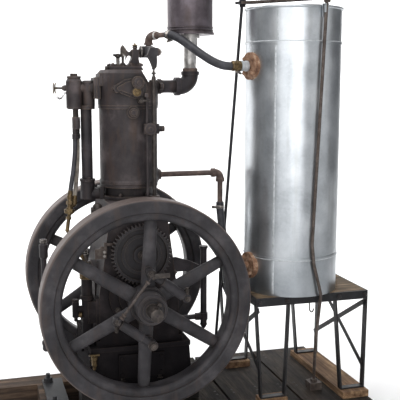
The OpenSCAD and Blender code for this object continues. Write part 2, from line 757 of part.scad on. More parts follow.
module breather_pipe() {
    x = 300;
    z = crank_z - 156;
    top = crank_z + 125;
    color("#201e20") {
        translate([x, 0, z - 34]) cylinder(h = top - z + 34, d = 26);
        translate([x, 0, top - 0.5]) cylinder(h = 10, d = 34);
        translate([x, 0, z - 50]) cylinder(h = 18, d1 = 12, d2 = 32);
        translate([x, 0, z - 14]) cylinder(h = 28, d = 34);
        bar_x(0, z, case_r + seat, x, 21);
        bar_x(0, z, x - 34, x - 12, 30);
        // bracket from the side door
        translate([0, -4, 0]) along_y(0, 8)
            polygon([[case_r + 5 + seat, crank_z + 36], [x - 8, crank_z + 36], [x - 8, crank_z + 52], [x - 60, crank_z + 78],
                     [case_r + 34, crank_z + 96], [case_r + 5 + seat, crank_z + 92]]);
    }
}

// ============================ exhaust ============================

exhaust_z = head_z + head_h * 0.53;
exhaust_x = 245;

module exhaust_pipe() {
    color("#1f1d1e") bar_x(0, exhaust_z, jacket_d / 2 + 18, exhaust_x - 62, exhaust_od);
}

module exhaust_elbow() {
    d = exhaust_od + 14;
    r = 44;
    color("#1c1b1c") {
        quarter([exhaust_x - r, 0, exhaust_z + r], r, d, -90);
        bar_x(0, exhaust_z, exhaust_x - 62, exhaust_x - r + 0.5, d + 8);
        translate([exhaust_x, 0, exhaust_z + r - 0.5]) cylinder(h = 14, d = d + 8);
    }
}

module exhaust_riser() {
    z0 = exhaust_z + 57.5;
    color("#b9b9bb") {
        translate([exhaust_x, 0, z0]) cylinder(h = muffler_z - z0 - 40, d = exhaust_od);
        translate([exhaust_x, 0, muffler_z - 41]) cylinder(h = 41, d = exhaust_od + 7);
        translate([exhaust_x, 0, muffler_z - 12]) cylinder(h = 12, d = exhaust_od + 26);
    }
}

muffler_z = head_top + 134;

module muffler_bottom() {
    color("#2a2422")
        translate([exhaust_x, 0, muffler_z]) {
            cylinder(h = 8, d = muffler_d + 12);
            translate([0, 0, 7]) cylinder(h = 5, d = muffler_d + 4);
        }
}

module muffler_shell() {
    wall = 3;
    hole_d = 9;
    per_row = 18;
    rows = 3;
    row_pitch = 20;
    color("#2d2725")
        translate([exhaust_x, 0, muffler_z + 12])
            difference() {
                cylinder(h = muffler_h, d = muffler_d);
                translate([0, 0, -1]) cylinder(h = muffler_h + 2, d = muffler_d - 2 * wall);
                // staggered rows of outlet holes
                for (row = [0 : rows - 1]) for (k = [0 : per_row - 1])
                    translate([0, 0, muffler_h * 0.46 + row * row_pitch]) rotate((k + (row % 2) / 2) * 360 / per_row)
                        bar_x(0, 0, muffler_d / 2 - wall - 4, muffler_d / 2 + 2, hole_d);
            }
}

module muffler_top() {
    color("#2a2422")
        translate([exhaust_x, 0, muffler_z + 12 + muffler_h]) {
            cylinder(h = 5, d = muffler_d + 4);
            translate([0, 0, 4]) cylinder(h = 8, d = muffler_d + 12);
            translate([0, 0, 11.5]) hex(30, 16);
            translate([0, 0, 27]) cylinder(h = 10, d = 16);
        }
}

// ============================ cooling water ============================

outlet_x = 96;
outlet_y = 62;
outlet_dir = -66;
riser_x = 42;          // riser beside the rocker stand
outlet_z = head_top + 131;

module water_outlet() {
    r = 24;
    bend = outlet_z - r;
    joint = rocker_z;
    reach = 113.1;
    color("#6e4a3e") {
        // riser and swing joint behind the rocker
        translate([riser_x, outlet_y, head_top + 14]) hex(26, 9);
        translate([riser_x, outlet_y, head_top + 14]) cylinder(h = joint - head_top - 14, d = 23);
        bar_x(outlet_y, joint, riser_x, outlet_x, 23);
        for (x = [riser_x, outlet_x]) translate([x, outlet_y, joint]) sphere(d = 30);
        translate([outlet_x, outlet_y, joint]) cylinder(h = bend - joint, d = 23);
        // elbow towards the tank, with its nipple and hexagon bush
        translate([outlet_x, outlet_y, bend - 10]) cylinder(h = 7, d = 36);
        translate([outlet_x, outlet_y, bend - 4]) cylinder(h = 4.5, d = 31);
        translate([outlet_x, outlet_y, outlet_z]) rotate(outlet_dir) {
            quarter([r, 0, -r], r, 29, 90);
            bar_x(0, 0, r - 0.5, r + 12, 31);
            bar_x(0, 0, r + 11, r + 19, 34);
            bar_x(0, 0, r + 18, reach, 20);
            translate([r + 22, 0, 0]) rotate([0, 90, 0]) hex(25, 12);
        }
    }
}

port_u = [cos(port_dir), sin(port_dir), 0];
port_len = 40;
upper_port = [tank_x, tank_y, upper_port_z] + (tank_d / 2 + port_len) * port_u;
upper_hose_route = [[142.5, -43, 1498.9], [153, -62.6, 1496.6], [166.4, -80.7, 1489.4], [178.6, -97.8, 1480.6],
    [190.7, -113.8, 1469.6], [203.1, -129, 1458], [216, -143.5, 1445.9], [229.5, -157.4, 1433.8],
    [243.7, -170.4, 1421.5], [258.9, -182.5, 1409.4], [275.4, -193.7, 1398.3], [293.6, -203.7, 1388.9],
    [313.9, -211.8, 1382.3], [335.9, -217.3, 1379.6], [358.6, -219.3, 1379.9], [381.3, -217.1, 1381]];

module upper_hose() {
    color("#3a3b3f") sweep(smooth(upper_hose_route, 2), hose_od, 14);
}

water_z = jacket_z + 37;
drop_x = 368;
drop_len = 117.7;

module water_pipe() {
    r = 22;
    color("#5a4038") {
        bar_x(0, water_z, jacket_d / 2 + 14, drop_x - r + 0.5, water_od);
        quarter([drop_x - r, 0, water_z - r], r, water_od + 8, 0);
        translate([drop_x, 0, water_z - r - 14]) cylinder(h = 14.5, d = water_od + 14);
        bar_x(0, water_z, drop_x - r - 14, drop_x - r + 0.5, water_od + 14);
        translate([drop_x, 0, water_z - drop_len]) cylinder(h = drop_len - r, d = water_od);
    }
}

lower_port = [tank_x, tank_y, lower_port_z] + (tank_d / 2 + port_len) * port_u;
lower_hose_route = [[368, 0, 850], [368.6, -1.1, 818.6], [370.7, -5.3, 787.6], [373, -10.1, 756.7],
    [375.4, -15.3, 725.8], [377.2, -21, 695], [378.4, -26.7, 664.1], [379, -33.6, 633.5],
    [378.7, -43, 603.5], [377.7, -54.7, 574.4], [376.2, -70, 547.1], [373.9, -89.6, 522.8],
    [371.2, -114.9, 504.7], [369.9, -145.5, 505.1], [371.4, -171.2, 519.8], [374.4, -187.9, 538.5],
    [377.9, -202.3, 557.5], [380.6, -212.6, 577.6], [381.7, -216.5, 589.5], [381.8, -216.9, 599.7]];

module lower_hose() {
    color("#33343a") sweep(smooth(lower_hose_route, 2), hose_od, 14);
}

module tank_flanges() {
    r = 22;
    face_r = tank_d / 2;
    color("#7a5236")
        difference() {
            union() {
                for (z = [upper_port_z, lower_port_z])
                    translate([tank_x, tank_y, z]) rotate(port_dir) bar_x(0, 0, 0, face_r + 13, 100);
                translate([tank_x, tank_y, upper_port_z]) rotate(port_dir)
                    bar_x(0, 0, 0, face_r + port_len - seat, water_od);
                translate([tank_x, tank_y, lower_port_z]) rotate(port_dir) {
                    bar_x(0, 0, 0, face_r + port_len - r + 0.5, water_od + 6);
                    quarter([face_r + port_len - r, 0, -r], r, water_od + 8, 0);
                    translate([face_r + port_len, 0, -elbow_drop]) cylinder(h = elbow_drop - r + 0.5, d = water_od);
                }
            }
            translate([tank_x, tank_y, 0]) {
                translate([0, 0, stand_top]) cylinder(h = tank_h, d = tank_d + 2 * seat, $fn = 128);
                translate([0, 0, stand_top + bottom_course_h - lap_h - 1])
                    cylinder(h = lap_h + 2, d = tank_d + 5 + 2 * seat, $fn = 128);
            }
        }
}

// a ring of sheet from z0 to z1, with its lapped seam starting at lap_z
module course(z0, z1, lap_z) {
    translate([tank_x, tank_y, 0])
        difference() {
            union() {
                translate([0, 0, z0]) cylinder(h = z1 - z0, d = tank_d, $fn = 128);
                translate([0, 0, lap_z]) cylinder(h = lap_h, d = tank_d + 5, $fn = 128);
            }
            translate([0, 0, z0 - 1]) cylinder(h = z1 - z0 + 2, d = tank_d - 2 * sheet_t, $fn = 128);
        }
}

module tank_bottom() {
    color("#8f979b")
        translate([tank_x, tank_y, stand_top + 12]) cylinder(h = sheet_t, d = tank_d - 2 * sheet_t);
}

module tank_bottom_course() {
    color("#9aa3a8") {
        course(stand_top, stand_top + bottom_course_h, stand_top + bottom_course_h - lap_h);
    }
}

module tank_middle_course() {
    color("#a3abb0") translate([tank_x, tank_y, stand_top + bottom_course_h])
        difference() {
            cylinder(h = tank_h - bottom_course_h - top_course_h, d = tank_d, $fn = 128);
            translate([0, 0, -1]) cylinder(h = tank_h, d = tank_d - 2 * sheet_t, $fn = 128);
        }
}

module tank_top_course() {
    color("#9aa3a8") {
        course(rim_z - top_course_h, rim_z, rim_z - top_course_h);
        translate([tank_x, tank_y, rim_z - 5]) rotate_extrude($fn = 128) translate([tank_d / 2 + 1, 0]) circle(d = 10, $fn = 24);
    }
}

// ============================ stand ============================

shelf_t = 12;
rail_t = 5;

module tank_shelf() {
    color("#b08a5c")
        block([stand_x - stand_w / 2 + rail_t + 0.5, stand_y - stand_w / 2 + rail_t + 0.5, stand_top - shelf_t],
              [stand_x + stand_w / 2 - rail_t - 0.5, stand_y + stand_w / 2 - rail_t - 0.5, stand_top]);
}

module stand_frame() {
    w = stand_w / 2;
    color("#232327")
        translate([stand_x, stand_y, stand_top - rail_h])
            difference() {
                translate([-w, -w, 0]) cube([stand_w, stand_w, rail_h]);
                translate([-w + rail_t, -w + rail_t, rail_h - shelf_t]) cube([stand_w - 2 * rail_t, stand_w - 2 * rail_t, rail_h]);
                translate([-w + 30, -w + 30, -1]) cube([stand_w - 60, stand_w - 60, rail_h]);
            }
}

leg_w = 26;
leg_t = 6;
foot_len = 100;
leg_rake = [23, 4];   // how far each side's feet stand inside the rails

// one hairpin leg of flat bar; side is -1 on the left and 1 on the right
module hairpin(side, y) {
    top = stand_top - rail_h;
    outer = side * stand_w / 2;
    inner = outer - side * 135;
    foot_out = outer - side * leg_rake[side < 0 ? 0 : 1];
    foot_in = foot_out - side * foot_len;
    translate([stand_x, 0, 0]) {
        along_y(y, y + leg_w) {
            polygon([[outer, top], [outer - side * leg_t, top], [foot_out - side * leg_t, stand_base_z + leg_t],
                     [foot_in + side * leg_t, stand_base_z + leg_t], [inner + side * leg_t, top], [inner, top],
                     [foot_in, stand_base_z], [foot_out, stand_base_z]]);
        }
    }
}

module stand_legs() {
    color("#232327")
        for (side = [-1, 1]) {
            hairpin(side, stand_y - stand_w / 2);
            hairpin(side, stand_y + stand_w / 2 - leg_w);
        }
}

// a flat bar between two points, standing on edge
module flat(a, b, w, t) {
    v = b - a;
    len = norm(v);
    translate(a) rotate([0, acos(v[2] / len), atan2(v[1], v[0])]) translate([-w / 2, -t / 2, 0]) cube([w, t, len]);
}

module stand_braces() {
    brace_w = 18;
    brace_t = 4;
    drop = stand_top - rail_h - stand_base_z;
    y0 = stand_y - stand_w / 2 + leg_w / 2;
    y1 = stand_y + stand_w / 2 - leg_w / 2;
    z0 = stand_base_z + drop * 0.26;
    z1 = stand_top - rail_h - 16;
    color("#232327")
        for (side = [-1, 1]) {
            rake = leg_rake[side < 0 ? 0 : 1];
            x0 = stand_x + side * (stand_w / 2 - leg_t - seat - brace_t / 2 - rake * 0.8);
            x1 = stand_x + side * (stand_w / 2 - leg_t - seat - brace_t / 2 - rake * 0.1);
            s = side * (brace_t + seat);
            flat([x0, y0, z0], [x1, y1, z1], brace_w, brace_t);
            flat([x0 - s, y1, z0], [x1 - s, y0, z1], brace_w, brace_t);
        }
}

// ============================ tie rods ============================

rear_rod = [[421, -104, rim_z + 46], [382, 120, 137]];
front_rod = [[644, -366, rim_z + 46], [606, -366, 735], [614, -366, 660], [644, -366, 546], [652, -346, 506], [658, -302, 345], [688, -228, 152]];
rod_fit = 0.3;
tie_z = rim_z + 18;
tie_rod_d = 12;

module front_tie_rod() {
    color("#4f3a30") {
        for (i = [0 : 5]) bar(front_rod[i], front_rod[i + 1], tie_rod_d);
        for (i = [1 : 5]) translate(front_rod[i]) sphere(d = tie_rod_d + 1);
    }
}

module rear_tie_rod() {
    color("#2f2d30") bar(rear_rod[0], rear_rod[1], tie_rod_d);
}

module tie_bar() {
    a = rear_rod[0];
    b = front_rod[0];
    span = norm([b[0] - a[0], b[1] - a[1]]);
    color("#2f2d30")
        difference() {
            translate([a[0], a[1], tie_z]) rotate(atan2(b[1] - a[1], b[0] - a[0]))
                translate([-22, -18, 0]) cube([span + 44, 36, 9]);
            bar(rear_rod[0], rear_rod[1], tie_rod_d + 2 * rod_fit);
            bar(front_rod[0], front_rod[1], tie_rod_d + 2 * rod_fit);
        }
}

module tie_blocks() {
    color("#4b3a35") {
        block([664, -252, deck_z], [712, -202, deck_z + 30]);
        block([362, 100, deck_z], [402, 140, deck_z + 16]);
    }
}

// ============================ moving pieces ============================

key_w = 12;
key_depth = 5;
key_len = 30;

module crankshaft() {
    color("#6d5a50")
        difference() {
            union() {
                bar_y(0, crank_z, -hub_face_y, hub_face_y, shaft_d);
                bar_y(0, crank_z, -shaft_end_y, shaft_end_y, stub_d);
            }
            for (s = [-1, 1])
                translate([-key_w / 2, s > 0 ? shaft_end_y - key_len : -shaft_end_y - 1, crank_z + stub_d / 2 - key_depth])
                    cube([key_w, key_len + 1, 2 * key_depth]);
        }
}

// a flywheel with its axis along Z and its outer face towards +Z
module wheel() {
    rim_r = wheel_d / 2;
    inner_r = rim_r - rim_t;
    half = rim_w / 2;
    step_r = inner_r + 27;
    step = 7;
    corner_r = 12;
    round_r = 15;
    difference() {
        union() {
            // rim: proud outer band with rounded corners, and a lower band inside a step
            rotate_extrude($fn = 128) {
                translate([step_r, -half + corner_r]) square([rim_r - step_r, rim_w - 2 * corner_r]);
                translate([step_r + 6, -half]) square([rim_r - step_r - 6 - corner_r, rim_w]);
                for (s = [-1, 1]) {
                    translate([rim_r - corner_r, s * (half - corner_r)]) circle(r = corner_r, $fn = 32);
                    translate([step_r + 6, s * (half - step)]) circle(r = step, $fn = 24);
                    translate([inner_r + round_r, s * (half - step - round_r)]) circle(r = round_r, $fn = 32);
                }
                translate([inner_r + round_r, -half + step]) square([rim_t - round_r - corner_r, rim_w - 2 * step]);
                translate([inner_r, -half + step + round_r]) square([rim_t, rim_w - 2 * (step + round_r)]);
            }
            translate([0, 0, -half - hub_in]) cylinder(h = rim_w + hub_in + hub_out - 5, d = hub_d);
            translate([0, 0, half + hub_out - 5.5]) cylinder(h = 5.5, d1 = hub_d, d2 = hub_d - 9);
            translate([0, 0, -30]) cylinder(h = 60, d = hub_d + 18);
            for (a = [27 : 60 : 327]) rotate(a) spoke(hub_d / 2 - 4, inner_r + 4);
        }
        translate([0, 0, -rim_w * 2]) cylinder(h = rim_w * 4, d = shaft_d + 2 * fit);
        // shallow recess in the hub's outer face
        translate([0, 0, half + hub_out - 3]) difference() {
            cylinder(h = 10, d = hub_d - 24);
            translate([0, 0, -1]) cylinder(h = 12, d = shaft_d + 22);
        }
    }
}

// an oval tapered spoke along X
module spoke(r0, r1) {
    hull() {
        translate([r0, 0, 0]) rotate([0, 90, 0]) scale([0.62, 1, 1]) cylinder(h = 1, d = 54, $fn = 24);
        translate([r1, 0, 0]) rotate([0, 90, 0]) scale([0.62, 1, 1]) cylinder(h = 1, d = 44, $fn = 24);
    }
}

governor_r = 126;
lug_y = wheel_y + 24;

module near_flywheel() {
    color("#353336") {
        translate([0, -wheel_y, crank_z]) rotate([90, 0, 0]) wheel();
        for (s = [-1, 1]) bar_y(0, crank_z + s * governor_r, -lug_y, -wheel_y, 30);
    }
}

module far_flywheel() {
    color("#353336") translate([0, wheel_y, crank_z]) rotate([-90, 0, 0]) wheel();
}

module governor() {
    y = -hub_face_y + 8;
    weight_end = [124, 0, 32];
    color("#4a4340") {
        for (turn = [0, 180])
            translate([0, y, crank_z]) rotate([0, turn, 0]) {
                pivot = [0, 0, governor_r];
                bar(pivot, weight_end, 27);
                bar(pivot + (weight_end - pivot) * 0.3, pivot + (weight_end - pivot) * 0.9, 35);
                translate(weight_end) sphere(d = 32);
                bar_y(weight_end[0], weight_end[2], 0, 38, 18);
                bar_y(0, governor_r, -16, 17, 34);
                bar_y(0, governor_r, 0, hub_face_y - 8 - lug_y - seat, 18);
                bar_y(0, governor_r, -24, 0, 14);
            }
        // link between the two weights
        translate([0, y, crank_z]) bar([-124, -20, -32], [-2, -22, governor_r], 9);
        bar_y(-124, crank_z - 32, y - 24, y, 12);
    }
}

module crank_pinion() {
    color("#4b4644")
        translate([0, gear_y + gear_w, crank_z]) rotate([90, 0, 0])
            difference() {
                union() {
                    linear_extrude(gear_w) rotate(90) gear_outline(pinion_teeth, gear_m);
                    cylinder(h = gear_w + 14, d = shaft_d + 26);
                }
                translate([0, 0, -1]) cylinder(h = gear_w + 20, d = shaft_d + 2 * fit);
            }
}

module cam_gear() {
    web_t = gear_w * 0.5;
    hub = stud_d + 34;
    color("#3f3b3a")
        translate([0, gear_y + gear_w, cam_z]) rotate([90, 0, 0])
            difference() {
                linear_extrude(gear_w) rotate(-90 + 180 / cam_teeth) gear_outline(cam_teeth, gear_m);
                // web recessed on the outer face, round the hub and a raised ring
                translate([0, 0, web_t]) difference() {
                    cylinder(h = gear_w, d = 2 * (cam_r - 14));
                    translate([0, 0, -1]) cylinder(h = gear_w + 2, d = hub);
                    translate([0, 0, -1]) difference() {
                        cylinder(h = 5, d = 2 * (cam_r - 34));
                        translate([0, 0, -1]) cylinder(h = 7, d = 2 * (cam_r - 46));
                    }
                }
                translate([0, 0, -1]) cylinder(h = gear_w + 2, d = stud_d + 2 * fit);
            }
}

module push_rod() {
    z0 = jacket_z - 38;
    top = rocker_z - rod_drop;
    color("#38342f") {
        translate([rod_x, rod_y, z0]) cylinder(h = top - 26 - z0, d = rod_d);
        translate([rod_x, rod_y, top - 26.5]) cylinder(h = 7, d1 = rod_d, d2 = 9);
        translate([rod_x, rod_y, top - 24]) cylinder(h = 24, d = 9);
        translate([rod_x, rod_y, top - 14]) hex(15, 6);
    }
}

module rocker_arm() {
    x = 70;
    arm_t = 20;
    tip_d = 14;
    color("#2e2b2c")
        difference() {
            union() {
                bar_x(0, rocker_z, 48, 96, 44);
                // long arm, curved down to the push rod
                along_x(x - arm_t / 2, x + arm_t / 2) translate([0, rocker_z]) rocker_outline();
                // finger that hangs down to the push rod
                along_y(rod_y - 9, rod_y + 9) translate([0, rocker_z])
                    polygon([[56, 10], [84, 10], [87, -12], [81, -22], [82, -42], [79.5, -60], [76, -63], [66, -63],
                             [62, -52], [56, -37], [50, -27], [46, -14]]);
                translate([rod_x, rod_y, rocker_z - rod_drop + seat + tip_d / 2]) sphere(d = tip_d);
                // short arm over the exhaust valve
                along_x(54, x + arm_t / 2) translate([0, rocker_z])
                    polygon([[8, 18], [valve_y - 6, 6], [valve_y + 9, 1], [valve_y + 9, -12], [valve_y - 8, -14], [8, -19]]);
                block([valve_x - 9, valve_y - 9, rocker_z - 12], [60, valve_y + 9, rocker_z]);
            }
            bar_x(0, rocker_z, 40, 106, rocker_shaft_d + 2 * fit);
        }
}

// side view of the rocker's long arm, from the hub to the push rod
module rocker_outline() {
    polygon([[-6, 21], [-40, 20], [-90, 16], [-126, 11], [rod_y - 9, 8], [rod_y - 9, -12],
             [-118, -14], [-90, -12], [-40, -14], [-8, -19]]);
}

// ============================ assembly ============================

bed_sills();
bed_strap();
deck_planks();
engine_bearers();
stand_packing();
sub_base();
crankcase();
bearing_plates();
cylinder_casting();  // cylinder
cylinder_head();
head_cover();
rocker_stand();
priming_cup();
rod_guide();
intake_mixer();
mixer_needle();
air_pipe();
air_elbow();
fuel_hose();
return_hose();
fuel_pipe();
fuel_pump();
drain_cock();
filler_pipe();
breather_pipe();
exhaust_pipe();
exhaust_elbow();
exhaust_riser();
muffler_bottom();
muffler_shell();
muffler_top();
water_outlet();
upper_hose();
water_pipe();
lower_hose();
tank_flanges();
tank_bottom();
tank_bottom_course();
tank_middle_course();
tank_top_course();
tank_shelf();
stand_frame();
stand_legs();
stand_braces();
front_tie_rod();
rear_tie_rod();
tie_bar();
tie_blocks();
crankshaft();
near_flywheel();
far_flywheel();
governor();
crank_pinion();
cam_gear();
push_rod();
rocker_arm();
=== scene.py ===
"""Vertical stationary engine and its cooling tank: finishes, hoses, small parts and stage round the frame."""

import json
import math

import bpy
from mathutils import Matrix, Vector


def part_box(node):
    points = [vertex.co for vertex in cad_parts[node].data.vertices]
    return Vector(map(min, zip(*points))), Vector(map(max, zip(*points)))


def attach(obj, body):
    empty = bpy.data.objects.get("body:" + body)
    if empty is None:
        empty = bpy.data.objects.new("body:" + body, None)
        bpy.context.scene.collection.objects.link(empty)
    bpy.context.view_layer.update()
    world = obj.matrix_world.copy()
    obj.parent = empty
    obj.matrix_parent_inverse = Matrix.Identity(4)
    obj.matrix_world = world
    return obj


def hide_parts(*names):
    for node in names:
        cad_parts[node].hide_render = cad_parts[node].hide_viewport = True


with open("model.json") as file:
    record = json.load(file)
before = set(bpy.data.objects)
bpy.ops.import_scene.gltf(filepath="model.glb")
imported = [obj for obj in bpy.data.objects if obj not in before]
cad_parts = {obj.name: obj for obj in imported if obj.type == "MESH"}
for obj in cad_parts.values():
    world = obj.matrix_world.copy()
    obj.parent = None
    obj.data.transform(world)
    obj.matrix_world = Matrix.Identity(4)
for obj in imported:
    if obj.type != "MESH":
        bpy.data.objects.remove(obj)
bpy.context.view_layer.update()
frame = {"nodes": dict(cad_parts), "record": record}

bl_info = {
    "name": "Stationary Engine",
    "version": (1, 0, 0),
    "blender": (4, 5, 0),
    "location": "View3D > Sidebar > Engine",
    "description": "Finishes a vertical stationary engine, its cooling tank and its plank bed",
    "category": "Object",
}

MM = 0.001
ENGINE, CRANK, ROCKER = "engine", "crank", "rocker"
X, Y, Z = Vector((1, 0, 0)), Vector((0, 1, 0)), Vector((0, 0, 1))


# ------------------------------------------------------------------ places read from the frame
def on(node, shares, shift=(0, 0, 0)):
    """A point given as shares of a node's box, moved by millimetres."""
    a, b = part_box(node)
    return Vector([a[i] + (b[i] - a[i]) * shares[i] + shift[i] * MM for i in range(3)])


def level(angle):
    """A level direction, at an angle in degrees from the X axis."""
    return Vector((math.cos(math.radians(angle)), math.sin(math.radians(angle)), 0))


SHAFT = on("crankshaft", (0.5, 0.5, 0.5))
SHAFT_END = on("crankshaft", (0.5, 0, 0.5))
HUB_FACE = on("near_flywheel", (0.5, 0, 0.5))
COVER = Vector((SHAFT.x, SHAFT.y, on("rocker_stand", (0, 0, 0)).z))
TANK = on("tank_middle_course", (0.5, 0.5, 0.5))
WHEEL_R = on("near_flywheel", (1, 0, 0)).x - SHAFT.x
PORT_ANGLE = 190
# heights in metres: where oil stain and painted shade start, are deepest and the castings have lost their
# shine; where the tank's darkening towards the bottom starts and is deepest
OIL_AND_SHADE_TOP, OIL_AND_SHADE_FULL, DUSTY = 0.95, 0.3, 0.4
TANK_DARKENS_FROM, TANK_DARKEST_AT = 0.85, 0.55


# ------------------------------------------------------------------ colours and nodes
def rgb(code):
    """A linear colour from an sRGB hex value."""
    value = code.lstrip("#")
    out = []
    for i in (0, 2, 4):
        c = int(value[i : i + 2], 16) / 255
        out.append(c / 12.92 if c <= 0.04045 else ((c + 0.055) / 1.055) ** 2.4)
    return (*out, 1.0)


def node(tree, kind, out=0, stops=(), **settings):
    """Add a node, set or link what is named, and give back its output."""
    made = tree.nodes.new(kind)
    for key, value in settings.items():
        if key in made.bl_rna.properties:
            setattr(made, key, value)
            continue
        if key[0] == "_":
            socket = made.inputs[int(key[1:])]
        else:
            socket = next(s for s in made.inputs if s.name.replace(" ", "_") == key and s.enabled)
        if isinstance(value, bpy.types.NodeSocket):
            tree.links.new(value, socket)
        else:
            socket.default_value = rgb(value) if isinstance(value, str) else value
    for position, code in stops:
        element = made.color_ramp.elements.new(position)
        element.color = rgb(code)
    if stops:
        made.color_ramp.elements.remove(made.color_ramp.elements[0])
        made.color_ramp.elements.remove(made.color_ramp.elements[-1])
    return made.outputs[out] if made.outputs else made


MADE = {}


def blank(name):
    """The named material's emptied node tree, and the object's own coordinates in it."""
    material = bpy.data.materials.get(name) or bpy.data.materials.new(name)
    MADE[name] = material
    material.use_nodes = True
    material.node_tree.nodes.clear()
    return material.node_tree, node(material.node_tree, "ShaderNodeTexCoord", out=3)


# ------------------------------------------------------------------ finishes
def worn_edges(t, width):
    """A mask of rubbed edges, from how far a rounded normal leaves the true one."""
    rounded = node(t, "ShaderNodeBevel", samples=4, Radius=width)
    true = node(t, "ShaderNodeNewGeometry", out=1)
    turn = node(t, "ShaderNodeVectorMath", out=1, operation="DOT_PRODUCT", _0=rounded, _1=true)
    return node(t, "ShaderNodeMapRange", Value=turn, From_Min=0.96, From_Max=0.68)


def tinted(t, colour, code, source, low, high, most):
    """The colour with another laid over it, up to a share, where a value passes from low to high."""
    share = node(t, "ShaderNodeMapRange", Value=source, From_Min=low, From_Max=high, To_Max=most)
    return node(t, "ShaderNodeMix", out=2, data_type="RGBA", _0=share, _6=colour, _7=code)


def rubbed(t, colour, code, width, share):
    """The colour with its edges rubbed through to another, by a share that is a number or a mask."""
    edges = node(t, "ShaderNodeMath", operation="MULTIPLY", _0=worn_edges(t, width), _1=share)
    return node(t, "ShaderNodeMix", out=2, data_type="RGBA", _0=edges, _6=colour, _7=code)


def surfaced(t, colour, patch, dull, spread, relief, depth, **settings):
    """End a finish: its roughness rises by the spread over its patches, and its relief has a depth."""
    rough = node(t, "ShaderNodeMapRange", Value=patch, From_Min=0.3, From_Max=0.7, To_Min=dull,
                 To_Max=dull + spread)
    bump = node(t, "ShaderNodeBump", Height=relief, Distance=depth)
    shader = node(t, "ShaderNodeBsdfPrincipled", Base_Color=colour, Roughness=rough, Normal=bump, **settings)
    node(t, "ShaderNodeOutputMaterial", Surface=shader)


def cast_iron(name, dark, mid, light, stain, grain=3 * MM, depth=0.5 * MM, rub="#75655b",
              wear=0.5, dull=0.42, sheen=0.1, gloss=0.3, oil=0.0, tread=None):
    """Sand-cast iron under old oil: a fine grain, soaked patches, drips, rubbed edges and painted shade in
    its corners.
    """
    t, place = blank(name)
    patch = node(t, "ShaderNodeTexNoise", Vector=place, Scale=1 / (90 * MM), Detail=5.0, Roughness=0.6)
    fine = node(t, "ShaderNodeTexNoise", Vector=place, Scale=1 / grain, Detail=4.0, Roughness=0.65)
    drawn = node(t, "ShaderNodeMapping", Vector=place, Scale=(1.0, 1.0, 0.22))
    drip = node(t, "ShaderNodeTexNoise", Vector=drawn, Scale=1 / (30 * MM), Detail=4.0, Roughness=0.6)
    colour = node(t, "ShaderNodeValToRGB", Fac=patch, stops=((0.30, dark), (0.52, mid), (0.74, light)))
    colour = tinted(t, colour, stain, drip, 0.52, 0.72, 0.6)
    grit = node(t, "ShaderNodeMapRange", Value=fine, From_Min=0.35, From_Max=0.6, To_Min=0.2 * wear,
                To_Max=wear)
    colour = rubbed(t, colour, rub, 5 * MM, grit)
    # painted shade: an occlusion mask darkens the corners and round the bosses to near black
    painted_corner_shade = node(t, "ShaderNodeAmbientOcclusion", out=1, samples=6, Distance=32 * MM)
    colour = tinted(t, colour, "#121011", painted_corner_shade, 0.9, 0.45, 0.85)
    if oil:
        # oil stain and painted shade darken the castings towards the bed, where dust takes their shine
        height = node(t, "ShaderNodeSeparateXYZ", out=2, Vector=place)
        colour = tinted(t, colour, "#1c1b1d", height, OIL_AND_SHADE_TOP, OIL_AND_SHADE_FULL, oil)
        gloss = node(t, "ShaderNodeMapRange", Value=height, From_Min=OIL_AND_SHADE_TOP, From_Max=DUSTY, To_Min=gloss,
                     To_Max=0.0)
    if tread:
        # the rim's rubbed tread, told by its distance from the shaft, and nothing well outside the wheel
        spun = node(t, "ShaderNodeMapping", Vector=place, Location=(0, 0, -SHAFT.z), Scale=(1, 0, 1))
        reach = node(t, "ShaderNodeVectorMath", out=1, operation="LENGTH", _0=spun)
        start, full, limit = WHEEL_R - 7.5 * MM, WHEEL_R - 2.5 * MM, WHEEL_R + 19 * MM
        share = node(t, "ShaderNodeMapRange", Value=reach, From_Min=start, From_Max=full, To_Max=0.8)
        broken = node(t, "ShaderNodeMapRange", Value=fine, From_Min=0.3, From_Max=0.6, To_Min=0.5)
        inside = node(t, "ShaderNodeMath", operation="LESS_THAN", _0=reach, _1=limit)
        for mask in (broken, inside):
            share = node(t, "ShaderNodeMath", operation="MULTIPLY", _0=share, _1=mask)
        colour = node(t, "ShaderNodeMix", out=2, data_type="RGBA", _0=share, _6=colour, _7=tread)
    lumps = node(t, "ShaderNodeTexNoise", Vector=place, Scale=1 / (14 * MM), Detail=2.0)
    relief = node(t, "ShaderNodeMath", operation="MULTIPLY_ADD", _0=lumps, _1=1.4, _2=fine)
    surfaced(t, colour, patch, dull, 0.2, relief, depth, Metallic=sheen, Specular_IOR_Level=gloss)


def oily_cast_iron():
    """Sand-cast iron, brown-black with baked oil, darkened towards the bed by oil stain and painted shade:
    satin where it is soaked, dull where it is dusty.
    """
    cast_iron("oily_cast_iron", "#272224", "#3d3738", "#675e5e", "#4b3a30", rub="#8f7b6b", wear=1.0,
              dull=0.46, gloss=0.34, oil=0.9)


def flywheel_iron():
    """Machined and painted cast iron, dark grey with a soft sheen, its tread rubbed brown."""
    cast_iron("flywheel_iron", "#242224", "#363437", "#514e50", "#443935", grain=2.2 * MM, depth=0.3 * MM,
              wear=0.8, dull=0.44, tread="#6f615b")


def black_iron_pipe():
    """Rolled iron pipe and malleable fittings: dull mill scale, slightly brown."""
    cast_iron("black_iron_pipe", "#211e20", "#322e31", "#4c464a", "#40332e", grain=1.6 * MM, depth=0.2 * MM,
              wear=0.4)


def sooty_sheet():
    """Rolled sheet steel browned by exhaust heat: dull, with darker soot in drips."""
    cast_iron("sooty_sheet", "#443e41", "#645c61", "#7e767d", "#4b3e35", grain=1.4 * MM, depth=0.15 * MM,
              dull=0.34, sheen=0.6)


